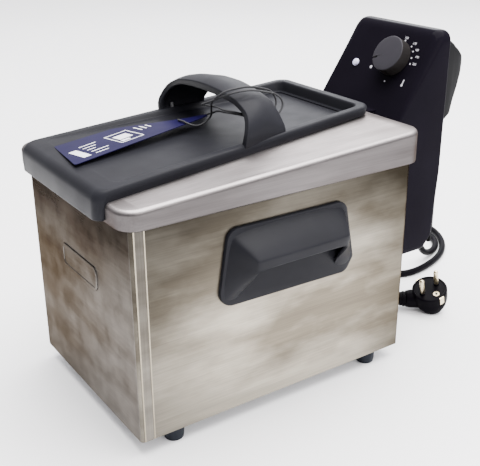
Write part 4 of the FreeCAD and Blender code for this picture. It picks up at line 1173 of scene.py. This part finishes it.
def make_table():
    half = 6
    level = at(0, 0, TABLE).z
    corners = [(x, y, level) for x, y in rectangle(-half, -half, half, half)]
    mesh = bpy.data.meshes.new("table")
    mesh.from_pydata(corners, [], [(0, 1, 2, 3)])
    table = bpy.data.objects.new("table", mesh)
    bpy.context.scene.collection.objects.link(table)
    material, tree, shader = new_material("table_top")
    shader.inputs["Base Color"].default_value = (0.93, 0.93, 0.94, 1)
    shader.inputs["Roughness"].default_value = 0.55
    mesh.materials.append(material)


def make_world():
    """A pale room, brighter overhead and dimmer on the side that the front faces."""
    world = bpy.data.worlds.new("studio")
    world.use_nodes = True
    tree = world.node_tree
    background = tree.nodes["Background"]
    background.inputs["Color"].default_value = (0.86, 0.85, 0.88, 1)
    upward = part_of(tree, "ShaderNodeTexCoord", "Generated", "Z")
    rearward = part_of(tree, "ShaderNodeTexCoord", "Generated", "Y")
    strength = ranged(tree, upward, 0.0, 0.7, 1.5, 2.6)
    strength = times(tree, strength, ranged(tree, rearward, -0.9, 0.3, 0.3, 1.0))
    tree.links.new(strength, background.inputs["Strength"])
    bpy.context.scene.world = world


def area_light(name, place, target, width, height, power, colour=(1, 1, 1)):
    data = bpy.data.lights.new(name, "AREA")
    data.shape = "RECTANGLE"
    data.size = width
    data.size_y = height
    data.energy = power
    data.color = colour
    lamp = bpy.data.objects.new(name, data)
    bpy.context.scene.collection.objects.link(lamp)
    lamp.location = place
    lamp.rotation_mode = "QUATERNION"
    lamp.rotation_quaternion = (Vector(target) - Vector(place)).to_track_quat("-Z", "Y")


def make_lights():
    middle = (0, 0, 0.12)
    area_light("overhead", (0.1, 0.4, 2.6), middle, 3, 3, 340, (1, 0.99, 0.98))
    area_light("right", (1.9, 0.1, 1.1), middle, 1.2, 1.2, 16, (1, 0.97, 0.94))
    area_light("left_rear", (-1.3, 1.2, 1.1), middle, 1.0, 1.0, 12, (0.94, 0.96, 1))


CAMERA_AT = (585.4, -236.1, 408.8)
CAMERA_AZIMUTH = 56.146
CAMERA_ELEVATION = 23.323
CAMERA_ROLL = -0.386
CAMERA_LENS = 63.37
CAMERA_SHIFT = (-0.0011, 0.0047)


def make_camera():
    data = bpy.data.cameras.new("camera")
    data.lens = CAMERA_LENS
    data.sensor_width = 36
    data.shift_x, data.shift_y = CAMERA_SHIFT
    data.dof.use_dof = False
    data.clip_start = 0.01
    camera = bpy.data.objects.new("camera", data)
    bpy.context.scene.collection.objects.link(camera)
    azimuth = math.radians(CAMERA_AZIMUTH)
    elevation = math.radians(CAMERA_ELEVATION)
    roll = Matrix.Rotation(math.radians(CAMERA_ROLL), 3, "Z").to_quaternion()
    back = Vector((
        math.sin(azimuth) * math.cos(elevation),
        -math.cos(azimuth) * math.cos(elevation),
        math.sin(elevation),
    ))
    camera.location = at(*CAMERA_AT)
    camera.rotation_mode = "QUATERNION"
    camera.rotation_quaternion = (-back).to_track_quat("-Z", "Y") @ roll
    bpy.context.scene.camera = camera


def main():
    make_casing()
    make_folds()
    make_feet()
    make_badge()
    make_rim()
    make_lid()
    make_arch()
    make_tag()
    make_elastic()
    for side, sign in (("left", -1), ("right", 1)):
        make_grip_plate(side, sign)
        make_grip_hood(side, sign)
    make_head()
    make_rear_cover()
    make_knob()
    make_lens()
    make_panel_print()
    gland = make_gland()
    plug = make_plug()
    make_cord()
    paint_kept()
    make_table()
    make_world()
    make_lights()
    make_camera()


main()
